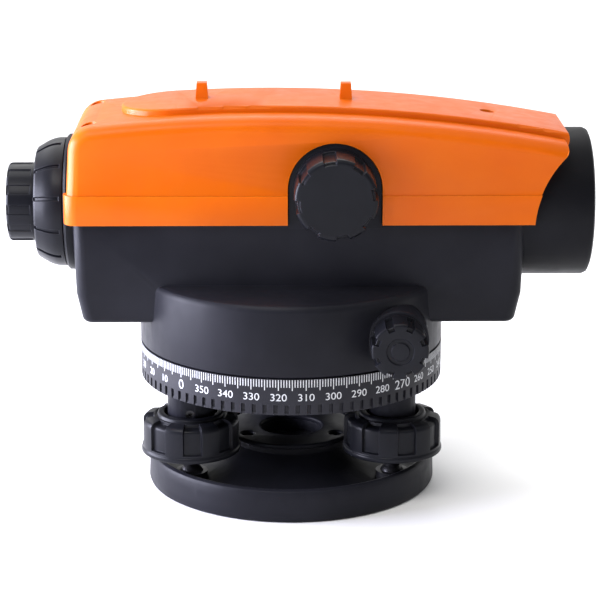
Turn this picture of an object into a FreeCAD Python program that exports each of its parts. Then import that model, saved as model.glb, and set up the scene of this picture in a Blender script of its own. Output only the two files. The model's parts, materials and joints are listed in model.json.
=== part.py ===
"""Surveyor's automatic level: base plate, levelling head, horizontal circle, telescope and compensator.

Millimetres. +Z is up along the vertical axis and +X is the line of sight towards the objective.
The origin is where the vertical axis meets the underside of the base plate.
The focusing knob is on the -Y side, and the circular vial is on the +Y side.
"""
import FreeCAD, Part
import math
import os

os.makedirs("parts", exist_ok=True)
V = FreeCAD.Vector
ORIGIN = V(0, 0, 0)
AXIS = {"X": V(1, 0, 0), "Y": V(0, 1, 0), "Z": V(0, 0, 1), "-Y": V(0, -1, 0)}

# ---- clearances ----
RUN = 0.05            # radial running clearance of a shaft in its hole
BALL_PLAY = 0.15      # between a foot ball and its cup
GAP = 0.3             # between faces of pieces that move apart
COVER_GAP = 0.3       # between the top cover and what it covers

# ---- base plate ----
BASE_R = 50.7
BASE_WALL_H = 11.5
BASE_RIM = 3.4
BASE_GROOVE_Z = 3.8
BASE_NECK_R = 21.5
BASE_NECK_H = 16.2
HUB_OPENING_R = 10.9
HUB_FLANGE_R = 22.4
HUB_FLANGE_T = 1.8
HUB_SCREW_PCR = 17.8
HUB_SCREW_HEAD_R = 2.2
THREAD_R = 6.8        # crests of the 5/8 inch tripod thread
THREAD_LEN = 12.5

# ---- foot screws ----
FOOT_PCR = 40.4
FOOT_ANGLES = {"left": 210, "right": 330, "rear": 90}
BALL_Z = 7.0
BALL_R = 4.2
CUP_R = 5.6
CUP_FLOOR_Z = 1.2
CUP_LIP = 1.4         # how far the cup's mouth is above the ball's centre
FOOT_NECK_R = 2.8
FOOT_NECK_TOP = 13.0
SPINDLE_R = 3.5
SPINDLE_TOP = 40.2
THREAD_PITCH = 1.0
THREAD_DEPTH = 0.35
FOOT_TRAVEL = 2.0
PIN_R = 1.6
KNOB_R = 16.8
KNOB_FLANGE_R = 17.2
KNOB_Z = 15.5
KNOB_H = 14.8
KNOB_DOME_H = 3.3
KNOB_WEB = 3.5
KNOB_WELL_R = 9.2
KNOB_COLLAR_R = 11.4
KNOB_LOBES = 8
KNOB_NOTCH_DEPTH = 1.1
KNOB_TURNED = {"left": 4.4, "right": 14.8, "rear": 22.5}     # degrees from +X to a notch

# ---- levelling head ----
SLEEVE_R = 8.0
SLEEVE_Z = 21.6
BUSH_R = 5.5
BUSH_TOP = 37.0
GRUB_R = 1.5
GRUB_Z = 31.2
HEAD_R = 48.6
HEAD_Z = 39.5
HEAD_T = 5.0
HEAD_HUB_R = 22.0
HEAD_HUB_Z = 30.0
RIB_W = 7.0

# ---- horizontal circle ----
CIRCLE_R = 52.9
CIRCLE_Z = 39.0
CIRCLE_TOP = 51.5
CIRCLE_WALL = 3.4
CIRCLE_WEB_T = 2.0
CIRCLE_SPIGOT_R = 38.2
RETAINER_T = 1.2
RETAINER_SCREW_R = 1.2
GRIP_COUNT = 90
GRIP_W = 1.4
GRIP_H = 3.6
GRIP_DEPTH = 0.8
SPRING_T = 0.4

# ---- vertical axis ----
ROOT_R = 11.0
COLUMN_R = 13.0
COLUMN_TOP = 66.0
JOURNAL_R = 10.0
JOURNAL_TOP = 83.0
AXIS_THREAD_R = 7.0
AXIS_NUT_R = 11.5
AXIS_NUT_H = 4.0
CLIP_T = 0.8
AXIS_BORE_R = 4.0

# ---- tangent drive ----
WHEEL_TEETH = 72
WHEEL_PITCH_R = 31.0
WHEEL_T = 4.0
WORM_Z = 62.6
WORM_PITCH_R = 4.3
WORM_CORE_R = 3.4
WORM_TIP_R = 5.0
WORM_TURNS = 5
TANGENT_SHAFT_R = 3.0
TANGENT_BOSS_R = 10.5
TANGENT_BOSS_Y = 46.3
TANGENT_BOSS_IN = 33.5
TANGENT_KNOB_R = 9.5
TANGENT_KNOB_L = 12.0
TANGENT_BUSH_R = 5.0

# ---- housing ----
DRUM_R = 52.9
DRUM_Z = 51.9
DRUM_TOP = 76.5
DRUM_WALL = 3.0
BODY_REAR_X = -74.0
BODY_FRONT_X = 79.0
BODY_HALF_W = 26.5
BODY_Z = 62.5
BEND_Z = 73.2         # below this the walls lean in more
BODY_DRAFT = 1.1      # lean of a wall from the split to the bottom
SKIRT_DRAFT = 2.0     # lean of a wall below the bend
BODY_CORNER_R = 4.0
BODY_WALL = 2.8
SPLIT_Z = 98.0
LIP_H = 5.0
LIP_INSET = 1.1
REAR_WALL_IN = 2.1    # the wall behind the eyepiece starts this far in from the rear face
BULKHEAD_TOP = 123.0
HUB_R = 17.0          # round the axis bush
AXIS_Z = 100.0        # optical axis

# ---- cover ----
COVER_REAR_X = -76.3
COVER_REAR_LEAN = 2.1
COVER_SIDE = 1.8      # cover's side stands this far out from the housing's
COVER_WALL = 2.4
COVER_BAND_H = 10.0
COVER_BAND = 0.4
COVER_CREST_X = -8.0
COVER_CREST_Z = 134.5
COVER_CREST_R = 540.0
COVER_CORNER_R = 9.0
COVER_EDGE_R = 4.5
COVER_FRONT_BOTTOM_X = 81.7
COVER_FRONT_TOP_X = 92.0
DECK_H = 2.3
DECK_HALF_W = 18.0
DECK_REAR_X = -58.0
SIGHT_XS = (-30.5, 18.8)
SIGHT_L = 4.4
SIGHT_H = 5.4
SIGHT_W = 5.0
COVER_SCREW_HEAD_R = 2.4
COVER_SCREW_R = 1.3
POST_R = 3.4
COVER_SCREW_L = 8.0
REAR_SCREW_Z = 127.6  # undersides of the screw heads
FRONT_SCREW_Z = 128.6
COVER_BOSS_T = 3.0    # cover under a screw head
REAR_SCREW_X = -67.9
REAR_SCREW_Y = 19.6
FRONT_SCREW_X = 67.4

# ---- focusing ----
FOCUS_X = 14.6
FOCUS_Z = 110.0
FOCUS_BOSS_R = 15.6
FOCUS_BOSS_PROUD = 0.9
FOCUS_KNOB_L = 17.0
FOCUS_KNOB_REAR_R = 14.0
FOCUS_KNOB_FRONT_R = 13.0
FOCUS_SHAFT_R = 3.0
FOCUS_BUSH_R = 5.0
PINION_TEETH = 10
PINION_MODULE = 0.6
RACK_Y = (-16.5, -12.5)
RACK_BACK = 4.0
FOCUS_TRAVEL_TEETH = 4
ROD_R = 1.5
ROD_PCR = 19.75
ROD_ANGLES = (0, 200)
BRACKET_X = 13.2
BRACKET_T = 3.0
CARRIAGE_X = 29.0
CARRIAGE_L = 12.0
CARRIAGE_R = 12.5
FOCUS_LENS_R = 10.0

# ---- objective ----
BARREL_R = 25.5
BARREL_REAR_X = 77.6
BARREL_FRONT_X = 102.6
SPIGOT_R = 21.5
SPIGOT_REAR_X = 60.0
SPIGOT_BORE_R = 18.0
LENS_R = 20.0
LENS_SEAT_X = 84.0
CROWN_T = 5.5
FLINT_T = 3.4
RETAINER_L = 3.0

# ---- eyepiece ----
EYE_TUBE_R = 17.0
EYE_COLLAR_R = 23.5
EYE_COLLAR_X = (-77.1, -74.0)
EYE_TUBE_FRONT_X = -61.0
EYE_TUBE_BORE_R = 14.5
SNOUT_R = 15.0
SNOUT_BORE_R = 12.55
SNOUT_REAR_X = -87.4
EYE_COVER_R = 22.3
EYE_COVER_REAR_R = 19.5
EYE_COVER_REAR_X = -87.8
DIOPTRE_R = 13.6
DIOPTRE_REAR_X = -97.6
DIOPTRE_SKIRT_BORE_R = 11.2
EYE_HOLE_R = 7.5
CELL_WALL = 2.1
CELL_X = (-93.2, -75.3)
EYE_TRAVEL = 2.2
RETICLE_X = -67.0

# ---- compensator ----
COMP_X = -30.0
COMP_HALF_L = 18.0
COMP_CHEEK_Y = 12.0
COMP_CHEEK_T = 2.5
COMP_TOP = 118.0
PIVOT_Z = 112.0
PRISM_FACE = 10.0
PENDULUM_PRISM_TOP = 91.5
PENDULUM_PRISM_H = 9.5
PENDULUM_ARM_Y = 9.0
WIRE_R = 0.2

# ---- circular vial and its mirror ----
VIAL_X = -3.0
VIAL_FROM_SIDE = 12.0
VIAL_R = 9.5
VIAL_H = 7.2
VIAL_FLANGE_R = 12.6
MIRROR_PIN_X = 13.0
MIRROR_PIN_Z = 87.0
MIRROR_PIN_R = 1.0
MIRROR_L = 27.0
MIRROR_W = 15.4
MIRROR_OPEN_DEG = 45.0

# ---- worked out from the values above ----
VIAL_Y = BODY_HALF_W + VIAL_FROM_SIDE
RETAINER_SCREW_PCR = CIRCLE_SPIGOT_R - 2
BORE_SIDE = BODY_HALF_W - BODY_DRAFT - BODY_WALL
COVER_HALF_W = BODY_HALF_W + COVER_SIDE
FOCUS_BOSS_FACE = BODY_HALF_W + FOCUS_BOSS_PROUD
BODY_LEAN = BODY_DRAFT / (SPLIT_Z - BODY_Z)
SKIRT_LEAN = SKIRT_DRAFT / (BEND_Z - BODY_Z)
FLOOR_Z = DRUM_TOP
HUB_TOP = BASE_NECK_H + HUB_FLANGE_T
RIB_Z = KNOB_Z + KNOB_H + FOOT_TRAVEL + 2 * GAP
WORM_PITCH = 2 * math.pi * WHEEL_PITCH_R / WHEEL_TEETH
WORM_X = WHEEL_PITCH_R + WORM_PITCH_R
HEAD_TOP = HEAD_Z + HEAD_T
CIRCLE_WEB_Z = HEAD_TOP + SPRING_T + GAP
CIRCLE_WEB_TOP = CIRCLE_WEB_Z + CIRCLE_WEB_T
PINION_R = PINION_TEETH * PINION_MODULE / 2
RACK_PITCH = math.pi * PINION_MODULE
RACK_Z = FOCUS_Z - PINION_R
FOCUS_TRAVEL = FOCUS_TRAVEL_TEETH * RACK_PITCH
CELL_R = DIOPTRE_SKIRT_BORE_R - RUN


def polar(radius, degrees, z=0.0):
    a = math.radians(degrees)
    return V(radius * math.cos(a), radius * math.sin(a), z)


def cyl(radius, start, end, base=ORIGIN, axis="Z"):
    """Cylinder between two stations along an axis through base."""
    direction = AXIS[axis]
    return Part.makeCylinder(radius, end - start, base + direction * start, direction)


def box(low, high):
    return Part.makeBox(high[0] - low[0], high[1] - low[1], high[2] - low[2], V(*low))


def tube(outer, inner, start, end, base=ORIGIN, axis="Z"):
    return cyl(outer, start, end, base, axis).cut(cyl(inner, start - 1, end + 1, base, axis))


def turned(profile, base=ORIGIN, axis="Z"):
    """Solid turned from (station, radius) points about an axis through base."""
    direction = AXIS[axis]
    across = AXIS["X"] if axis == "Z" else AXIS["Z"]
    points = [base + direction * s + across * r for s, r in profile]
    face = Part.Face(Part.makePolygon(points + points[:1]))
    return face.revolve(base, direction, 360)


def prism(points, axis, start, end):
    """Prism of a flat outline. Axis Y takes (x, z) points, X takes (y, z) and Z takes (x, y)."""
    if axis == "Y":
        at = [V(p[0], start, p[1]) for p in points]
    elif axis == "X":
        at = [V(start, p[0], p[1]) for p in points]
    else:
        at = [V(p[0], p[1], start) for p in points]
    return Part.Face(Part.makePolygon(at + at[:1])).extrude(AXIS[axis] * (end - start))


def turn(shape, degrees, centre=ORIGIN, axis="Z"):
    copy = shape.copy()
    copy.rotate(centre, AXIS[axis], degrees)
    return copy


def ring_of(shape, count, centre=ORIGIN, axis="Z", start=0.0):
    """Copies of a shape, evenly round an axis."""
    return [turn(shape, start + i * 360.0 / count, centre, axis) for i in range(count)]


def moved(shape, x=0.0, y=0.0, z=0.0):
    copy = shape.copy()
    copy.translate(V(x, y, z))
    return copy


def joined(shape, *others):
    """Fuse one piece after another, which holds better than all at once on a thin shell."""
    for other in others:
        shape = shape.fuse(other)
    return shape


def carved(shape, *tools):
    """Cut one tool after another."""
    for tool in tools:
        shape = shape.cut(tool)
    return shape


def rounded(shape, radius, chosen):
    """Fillet the edges that a test picks."""
    edges = [e for e in shape.Edges if chosen(e)]
    return shape.makeFillet(radius, edges) if edges else shape


def save(name, *solids):
    shape = solids[0] if len(solids) == 1 else Part.makeCompound(list(solids))
    shape.exportStep("parts/" + name + ".step")


def screw(head_r, head_h, shank_r, length, slot_w):
    """Cheese-head screw pointing down: its head stands on z = 0."""
    body = cyl(head_r, 0, head_h).fuse(cyl(shank_r, -length, 0))
    slot = box((-head_r - 1, -slot_w / 2, head_h * 0.5), (head_r + 1, slot_w / 2, head_h + 1))
    return body.cut(slot)


def gear_blank(teeth, pitch_r, tip_r, root_r, share, z0, z1, start=0.0):
    """Straight-toothed wheel. share is the tooth's part of the pitch at its pitch circle."""
    step = 360.0 / teeth
    flank = 0.10
    outline = []
    for i in range(teeth):
        mid = start + i * step
        stations = ((root_r, -(share / 2 + flank)), (tip_r, -(share / 2 - flank)),
                    (tip_r, share / 2 - flank), (root_r, share / 2 + flank))
        for radius, shift in stations:
            p = polar(radius, mid + shift * step)
            outline.append((p.x, p.y))
    return prism(outline, "Z", z0, z1)


# ======================= base =======================
def base_plate():
    inner = BASE_R - BASE_RIM
    profile = [
        (0, HUB_OPENING_R), (0, BASE_R - 1.2), (0.35, BASE_R - 0.35), (1.2, BASE_R),
        (BASE_WALL_H - 1.6, BASE_R - 0.3), (BASE_WALL_H - 0.5, BASE_R - 0.8), (BASE_WALL_H, BASE_R - 1.9),
        (BASE_WALL_H - 0.3, inner + 0.6), (BASE_WALL_H - 1.2, inner), (BASE_GROOVE_Z + 1.0, inner - 0.7),
        (BASE_GROOVE_Z, inner - 1.6), (BASE_GROOVE_Z, inner - 3.2), (BASE_GROOVE_Z + 1.6, inner - 10),
        (BASE_GROOVE_Z + 5.0, BASE_NECK_R + 6), (BASE_NECK_H - 3.0, BASE_NECK_R + 1.0),
        (BASE_NECK_H - 2.0, BASE_NECK_R), (BASE_NECK_H, BASE_NECK_R), (BASE_NECK_H, HUB_OPENING_R)]
    body = turned(profile)
    cuts = [tube(34.0, 15.0, -1, 1.0)]
    for angle in FOOT_ANGLES.values():
        cuts.append(cyl(CUP_R, CUP_FLOOR_Z, BALL_Z + CUP_LIP + 1, polar(FOOT_PCR, angle)))
        at = polar(HUB_SCREW_PCR, angle)
        cuts.append(cyl(HUB_SCREW_HEAD_R + 0.1, BASE_NECK_H - 1.2, BASE_NECK_H + 1, at))
        cuts.append(cyl(1.5, BASE_NECK_H - 8, BASE_NECK_H, at))
    save("base_plate", body.cut(cuts))


def tripod_bush():
    profile = [(0, THREAD_R), (0, HUB_OPENING_R), (THREAD_LEN, HUB_OPENING_R),
               (THREAD_LEN, THREAD_R + 1.4), (THREAD_LEN - 1.2, THREAD_R)]
    save("tripod_bush", turned(profile))


def hub_flange():
    profile = [(BASE_NECK_H, HUB_OPENING_R), (BASE_NECK_H, HUB_FLANGE_R - 0.3),
               (BASE_NECK_H + 0.4, HUB_FLANGE_R), (HUB_TOP - 0.4, HUB_FLANGE_R),
               (HUB_TOP, HUB_FLANGE_R - 0.5), (HUB_TOP, HUB_OPENING_R + 0.5),
               (HUB_TOP - 0.5, HUB_OPENING_R)]
    plate = turned(profile)
    screws = []
    for angle in FOOT_ANGLES.values():
        at = polar(HUB_SCREW_PCR, angle)
        hole = cyl(HUB_SCREW_HEAD_R + 0.1, BASE_NECK_H - 1, HUB_TOP + 1, at)
        sink = turned([(HUB_TOP - 0.5, 0), (HUB_TOP - 0.5, HUB_SCREW_HEAD_R + 0.1),
                       (HUB_TOP + 0.1, HUB_SCREW_HEAD_R + 0.7), (HUB_TOP + 0.1, 0)], at)
        plate = plate.cut([hole, sink])
        one = cyl(HUB_SCREW_HEAD_R, 0, 1.6).fuse(cyl(1.5, -6.8, 0))
        key = prism([(p.x, p.y) for p in (polar(1.3, 60 * i) for i in range(6))], "Z", 0.6, 2.6)
        screws.append(moved(one.cut(key), at.x, at.y, BASE_NECK_H - 1.2))
    save("hub_flange", plate)
    save("hub_flange_screws", *screws)


def ball_cups():
    mouth = BALL_Z + CUP_LIP
    cups = []
    for angle in FOOT_ANGLES.values():
        at = polar(FOOT_PCR, angle)
        cup = cyl(CUP_R, CUP_FLOOR_Z, mouth, at)
        hollow = Part.makeSphere(BALL_R + BALL_PLAY, at + V(0, 0, BALL_Z))
        cups.append(cup.cut(hollow))
    save("ball_cups", *cups)


# ======================= foot screws =======================
def foot_ball(at):
    ball = Part.makeSphere(BALL_R, at + V(0, 0, BALL_Z))
    neck = cyl(FOOT_NECK_R, BALL_Z, FOOT_NECK_TOP, at)
    bore = cyl(PIN_R + RUN, BALL_Z - 1.5, FOOT_NECK_TOP + 1, at)
    return ball.fuse(neck).cut(bore)


def foot_spindle(at):
    """Threaded rod of a foot screw, with the pin that turns in the ball."""
    low = FOOT_NECK_TOP + GAP
    profile = [(BALL_Z - 1.2, 0), (BALL_Z - 1.2, PIN_R), (low, PIN_R), (low, SPINDLE_R)]
    crest = SLEEVE_Z - FOOT_TRAVEL
    while crest < SPINDLE_TOP - 2 * THREAD_PITCH:
        profile += [(crest, SPINDLE_R), (crest + 0.4 * THREAD_PITCH, SPINDLE_R - THREAD_DEPTH),
                    (crest + 0.8 * THREAD_PITCH, SPINDLE_R)]
        crest += THREAD_PITCH
    profile += [(SPINDLE_TOP - 0.6, SPINDLE_R), (SPINDLE_TOP, SPINDLE_R - 0.6), (SPINDLE_TOP, 0)]
    return turned(profile, at)


def foot_knob(at, turned_by):
    """Cap-shaped knob that hides the lower end of its sleeve."""
    top = KNOB_Z + KNOB_H
    shoulder = top - KNOB_DOME_H
    floor = KNOB_Z + KNOB_WEB
    profile = [
        (KNOB_Z, SPINDLE_R), (KNOB_Z, KNOB_R - 3), (KNOB_Z + 0.8, KNOB_FLANGE_R - 0.4),
        (KNOB_Z + 1.3, KNOB_FLANGE_R), (KNOB_Z + 2.3, KNOB_FLANGE_R), (KNOB_Z + 2.8, KNOB_R),
        (shoulder, KNOB_R), (shoulder + 1.1, KNOB_R - 0.5), (shoulder + 1.9, KNOB_R - 1.6),
        (shoulder + 2.3, KNOB_COLLAR_R + 1.0), (shoulder + 2.0, KNOB_COLLAR_R + 0.3),
        (top - 0.4, KNOB_COLLAR_R - 0.1), (top, KNOB_COLLAR_R - 0.6), (top, KNOB_WELL_R + 0.6),
        (top - 0.6, KNOB_WELL_R), (floor, KNOB_WELL_R), (floor, SPINDLE_R)]
    body = turned(profile, at)
    half = KNOB_R * math.sin(math.radians(90 / KNOB_LOBES))
    bottom_r = KNOB_R - KNOB_NOTCH_DEPTH
    inner_r = KNOB_R - 3.6
    notch = prism([(bottom_r, KNOB_Z + 3.0), (KNOB_R + 2, KNOB_Z + 3.0), (KNOB_R + 2, top + 1),
                   (inner_r, top + 1), (inner_r, shoulder + 1.5), (bottom_r, shoulder + 0.3)],
                  "Y", -half, half)
    return body.cut([moved(one, at.x, at.y) for one in ring_of(notch, KNOB_LOBES, start=turned_by)])


def foot_screws():
    front_balls = []
    for name, angle in FOOT_ANGLES.items():
        at = polar(FOOT_PCR, angle)
        save(name + "_foot_spindle", foot_spindle(at))
        save(name + "_foot_knob", foot_knob(at, KNOB_TURNED[name]))
        if name == "rear":
            save("rear_foot_ball", foot_ball(at))
        else:
            front_balls.append(foot_ball(at))
    save("front_foot_balls", *front_balls)


# ======================= levelling head =======================
def levelling_head():
    disc = tube(HEAD_R, ROOT_R, HEAD_Z, HEAD_TOP)
    hub = tube(HEAD_HUB_R, ROOT_R, HEAD_HUB_Z, HEAD_Z + 1)
    spigot = tube(CIRCLE_SPIGOT_R, CIRCLE_SPIGOT_R - 4, HEAD_TOP - 1, CIRCLE_WEB_TOP + GAP)
    body = disc.fuse([hub, spigot])
    cuts = []
    for angle in FOOT_ANGLES.values():
        at = polar(FOOT_PCR, angle)
        rib = box((HEAD_HUB_R - 2, -RIB_W / 2, RIB_Z), (FOOT_PCR, RIB_W / 2, HEAD_Z + 1))
        body = body.fuse([cyl(SLEEVE_R, SLEEVE_Z, HEAD_Z + 1, at), turn(rib, angle)])
        cuts.append(cyl(BUSH_R, SLEEVE_Z - 1, BUSH_TOP, at))
        cuts.append(cyl(SPINDLE_R + 0.6, BUSH_TOP - 1, SPINDLE_TOP + FOOT_TRAVEL + 0.6, at))
        hole = turn(cyl(GRUB_R, 0, SLEEVE_R + 1, V(0, 0, GRUB_Z), "X"), angle + 60)
        cuts.append(moved(hole, at.x, at.y))
        hole = cyl(RETAINER_SCREW_R, HEAD_TOP - 3.5, CIRCLE_WEB_TOP + 2, V(RETAINER_SCREW_PCR, 0, 0))
        cuts.append(turn(hole, angle + 60))
    save("levelling_head", body.cut(cuts).removeSplitter())


def head_fittings():
    bushes = []
    grubs = []
    screws = []
    for angle in FOOT_ANGLES.values():
        at = polar(FOOT_PCR, angle)
        bushes.append(tube(BUSH_R, SPINDLE_R + RUN, SLEEVE_Z, BUSH_TOP, at))
        grub = cyl(GRUB_R, BUSH_R, SLEEVE_R - 0.5, V(0, 0, GRUB_Z), "X")
        key = prism([(p.x, p.y + GRUB_Z) for p in (polar(0.8, 60 * i) for i in range(6))],
                    "X", SLEEVE_R - 1.5, SLEEVE_R + 1)
        grubs.append(moved(turn(grub.cut(key), angle + 60), at.x, at.y))
        one = screw(2.1, 1.3, RETAINER_SCREW_R, 4.0, 0.6)
        spot = polar(RETAINER_SCREW_PCR, angle + 60)
        screws.append(moved(one, spot.x, spot.y, CIRCLE_WEB_TOP + GAP + RETAINER_T))
    save("foot_screw_bushes", *bushes)
    save("post_set_screws", *grubs)
    low = CIRCLE_WEB_TOP + GAP
    retainer = tube(CIRCLE_SPIGOT_R + 2.4, CIRCLE_SPIGOT_R - 4, low, low + RETAINER_T)
    hole = cyl(RETAINER_SCREW_R, low - 1, low + 3, V(RETAINER_SCREW_PCR, 0, 0))
    holes = [turn(hole, angle + 60) for angle in FOOT_ANGLES.values()]
    save("circle_retainer", retainer.cut(holes), *screws)
    save("circle_spring", tube(HEAD_R - 2, CIRCLE_SPIGOT_R + 2, HEAD_TOP, HEAD_TOP + SPRING_T))


def horizontal_circle():
    inner = CIRCLE_R - CIRCLE_WALL
    profile = [
        (CIRCLE_Z, inner + 0.4), (CIRCLE_Z, CIRCLE_R - 0.5), (CIRCLE_Z + 0.4, CIRCLE_R),
        (CIRCLE_TOP - 0.4, CIRCLE_R), (CIRCLE_TOP, CIRCLE_R - 0.4), (CIRCLE_TOP, inner),
        (CIRCLE_WEB_TOP, inner), (CIRCLE_WEB_TOP, CIRCLE_SPIGOT_R + RUN),
        (CIRCLE_WEB_Z, CIRCLE_SPIGOT_R + RUN), (CIRCLE_WEB_Z, inner), (CIRCLE_Z + 0.4, inner)]
    band = turned(profile)
    half = GRIP_W / 2
    slot = box((CIRCLE_R - GRIP_DEPTH, -half, CIRCLE_Z - 1), (CIRCLE_R + 1, half, CIRCLE_Z + GRIP_H))
    save("horizontal_circle", band.cut(ring_of(slot, GRIP_COUNT)))


def vertical_spindle():
    flange_r = 18.0
    seat_z = WORM_Z - WHEEL_T / 2 - SPRING_T
    collar_z = seat_z - 2.5
    collar_r = COLUMN_R + 4.5
    flange_top = HEAD_TOP + 2.5
    groove_r = COLUMN_R - CLIP_T
    clip_z = WORM_Z + WHEEL_T / 2 + 0.1
    thread_top = JOURNAL_TOP + AXIS_NUT_H + 1.6
    profile = [
        (HEAD_HUB_Z + 1, AXIS_BORE_R), (HEAD_HUB_Z + 1, ROOT_R), (HEAD_TOP, ROOT_R), (HEAD_TOP, flange_r),
        (flange_top, flange_r), (flange_top, COLUMN_R), (collar_z, COLUMN_R), (collar_z, collar_r),
        (seat_z, collar_r), (seat_z, COLUMN_R), (clip_z, COLUMN_R),
        (clip_z, groove_r), (clip_z + CLIP_T, groove_r), (clip_z + CLIP_T, COLUMN_R),
        (COLUMN_TOP, COLUMN_R), (COLUMN_TOP, JOURNAL_R), (JOURNAL_TOP, JOURNAL_R),
        (JOURNAL_TOP, AXIS_THREAD_R), (thread_top, AXIS_THREAD_R), (thread_top, AXIS_BORE_R)]
    body = turned(profile)
    holes = [turn(cyl(1.7, HEAD_TOP - 1, HEAD_TOP + 4, V(15.5, 0, 0)), a) for a in FOOT_ANGLES.values()]
    circlip = tube(COLUMN_R + 2.2, groove_r, clip_z, clip_z + CLIP_T)
    save("vertical_spindle", body.cut(holes), circlip)
    washer = tube(AXIS_NUT_R, AXIS_THREAD_R, JOURNAL_TOP, JOURNAL_TOP + 0.8)
    nut = tube(AXIS_NUT_R - 0.5, AXIS_THREAD_R, JOURNAL_TOP + 0.8, JOURNAL_TOP + 0.8 + AXIS_NUT_H)
    notch = box((AXIS_NUT_R - 2.5, -1.5, JOURNAL_TOP), (AXIS_NUT_R + 1, 1.5, JOURNAL_TOP + 9))
    save("spindle_nut", nut.cut(ring_of(notch, 4)), washer)


# ======================= tangent drive =======================
def worm_wheel():
    low = WORM_Z - WHEEL_T / 2
    wheel = gear_blank(WHEEL_TEETH, WHEEL_PITCH_R, WHEEL_PITCH_R + 0.7, WHEEL_PITCH_R - 1.1, 0.36,
                       low, low + WHEEL_T, 180.0 / WHEEL_TEETH)
    cuts = [cyl(COLUMN_R + RUN, low - 1, low + WHEEL_T + 1)]
    cuts += ring_of(cyl(2.6, low - 1, low + WHEEL_T + 1, V((COLUMN_R + WHEEL_PITCH_R) / 2, 0, 0)), 6)
    save("worm_wheel", wheel.cut(cuts))
    save("clutch_spring", tube(COLUMN_R + 4, COLUMN_R + RUN + 0.2, low - SPRING_T + 0.1, low))


def tangent_screw():
    base = V(WORM_X, 0, WORM_Z)
    length = WORM_TURNS * WORM_PITCH
    end = TANGENT_BOSS_Y + GAP + TANGENT_KNOB_L - 2.5
    core = cyl(TANGENT_SHAFT_R, -end, end, base, "Y")
    core = core.fuse(cyl(WORM_CORE_R, -length / 2 - 3, length / 2 + 3, base, "Y"))
    helix = Part.makeHelix(WORM_PITCH, length, WORM_CORE_R - 0.15)
    root_half = WORM_PITCH * 0.27
    tip_half = WORM_PITCH * 0.13
    points = [V(WORM_CORE_R - 0.15, 0, -root_half), V(WORM_TIP_R, 0, -tip_half),
              V(WORM_TIP_R, 0, tip_half), V(WORM_CORE_R - 0.15, 0, root_half)]
    thread = Part.Wire(helix.Edges).makePipeShell([Part.makePolygon(points + points[:1])], True, True)
    thread = Part.Solid(Part.Shell(thread.Faces)) if thread.ShapeType != "Solid" else thread
    thread.translate(V(0, 0, -length / 2))
    thread.rotate(ORIGIN, V(1, 0, 0), -90)
    thread.translate(base)
    save("tangent_worm", core.fuse(thread))
    knobs = []
    for side in ("-Y", "Y"):
        near = TANGENT_BOSS_Y + GAP
        far = near + TANGENT_KNOB_L
        r = TANGENT_KNOB_R
        profile = [(near, TANGENT_SHAFT_R), (near, r - 0.6), (near + 0.6, r), (far - 1.2, r),
                   (far - 0.35, r - 0.35), (far, r - 1.2), (far, r * 0.55), (far - 0.6, r * 0.5),
                   (far - 0.6, r * 0.4), (far, r * 0.35), (far, 0), (far - 2.5, 0),
                   (far - 2.5, TANGENT_SHAFT_R)]
        knob = turned(profile, base, side)
        flute = cyl(1.5, near + 1.4, far + 1, base + V(0, 0, r + 0.35), side)
        knobs.append(knob.cut(ring_of(flute, 8, base, "Y", 22.5)))
    save("tangent_knobs", *knobs)
    inner = TANGENT_BOSS_Y - 12
    bore_r = TANGENT_SHAFT_R + RUN
    bushes = [tube(TANGENT_BUSH_R, bore_r, inner, TANGENT_BOSS_Y, base, side) for side in ("-Y", "Y")]
    save("tangent_bushes", *bushes)


# ======================= telescope housing =======================
def rectangle_wire(x0, x1, half_w, z, radius):
    """Rounded rectangle in a level plane."""
    r = radius
    side = half_w - r
    corners = [(x1 - r, side, 0), (x0 + r, side, 90), (x0 + r, -side, 180), (x1 - r, -side, 270)]
    arcs = []
    for cx, cy, start in corners:
        p = [V(cx + r * math.cos(math.radians(start + a)), cy + r * math.sin(math.radians(start + a)), z)
             for a in (0, 45, 90)]
        arcs.append(Part.Arc(*p).toShape())
    edges = []
    for i, arc in enumerate(arcs):
        following = arcs[(i + 1) % 4]
        end = following.valueAt(following.FirstParameter)
        edges += [arc, Part.makeLine(arc.valueAt(arc.LastParameter), end)]
    return Part.Wire(edges)


def drafted_box(inset, low, high, radius, lean=BODY_LEAN, plumb_z=SPLIT_Z):
    """Box of the telescope housing's plan, pulled in by inset at plumb_z and by its lean below that."""
    wires = []
    for z in (low, high):
        pull = inset + (plumb_z - z) * lean
        x0 = BODY_REAR_X + pull
        x1 = BODY_FRONT_X - pull
        y = BODY_HALF_W - pull
        wires.append(Part.makePolygon([V(x0, -y, z), V(x1, -y, z), V(x1, y, z), V(x0, y, z), V(x0, -y, z)]))
    block = Part.makeLoft(wires, True, True)
    return rounded(block, radius, lambda e: e.BoundBox.ZLength > (high - low) * 0.9)


def focus_arch(radius, y0, y1, low):
    """Round-topped block about the focusing shaft."""
    disc = cyl(radius, y0, y1, V(FOCUS_X, 0, FOCUS_Z), "Y")
    return disc.fuse(box((FOCUS_X - radius, y0, low), (FOCUS_X + radius, y1, FOCUS_Z)))


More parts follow.
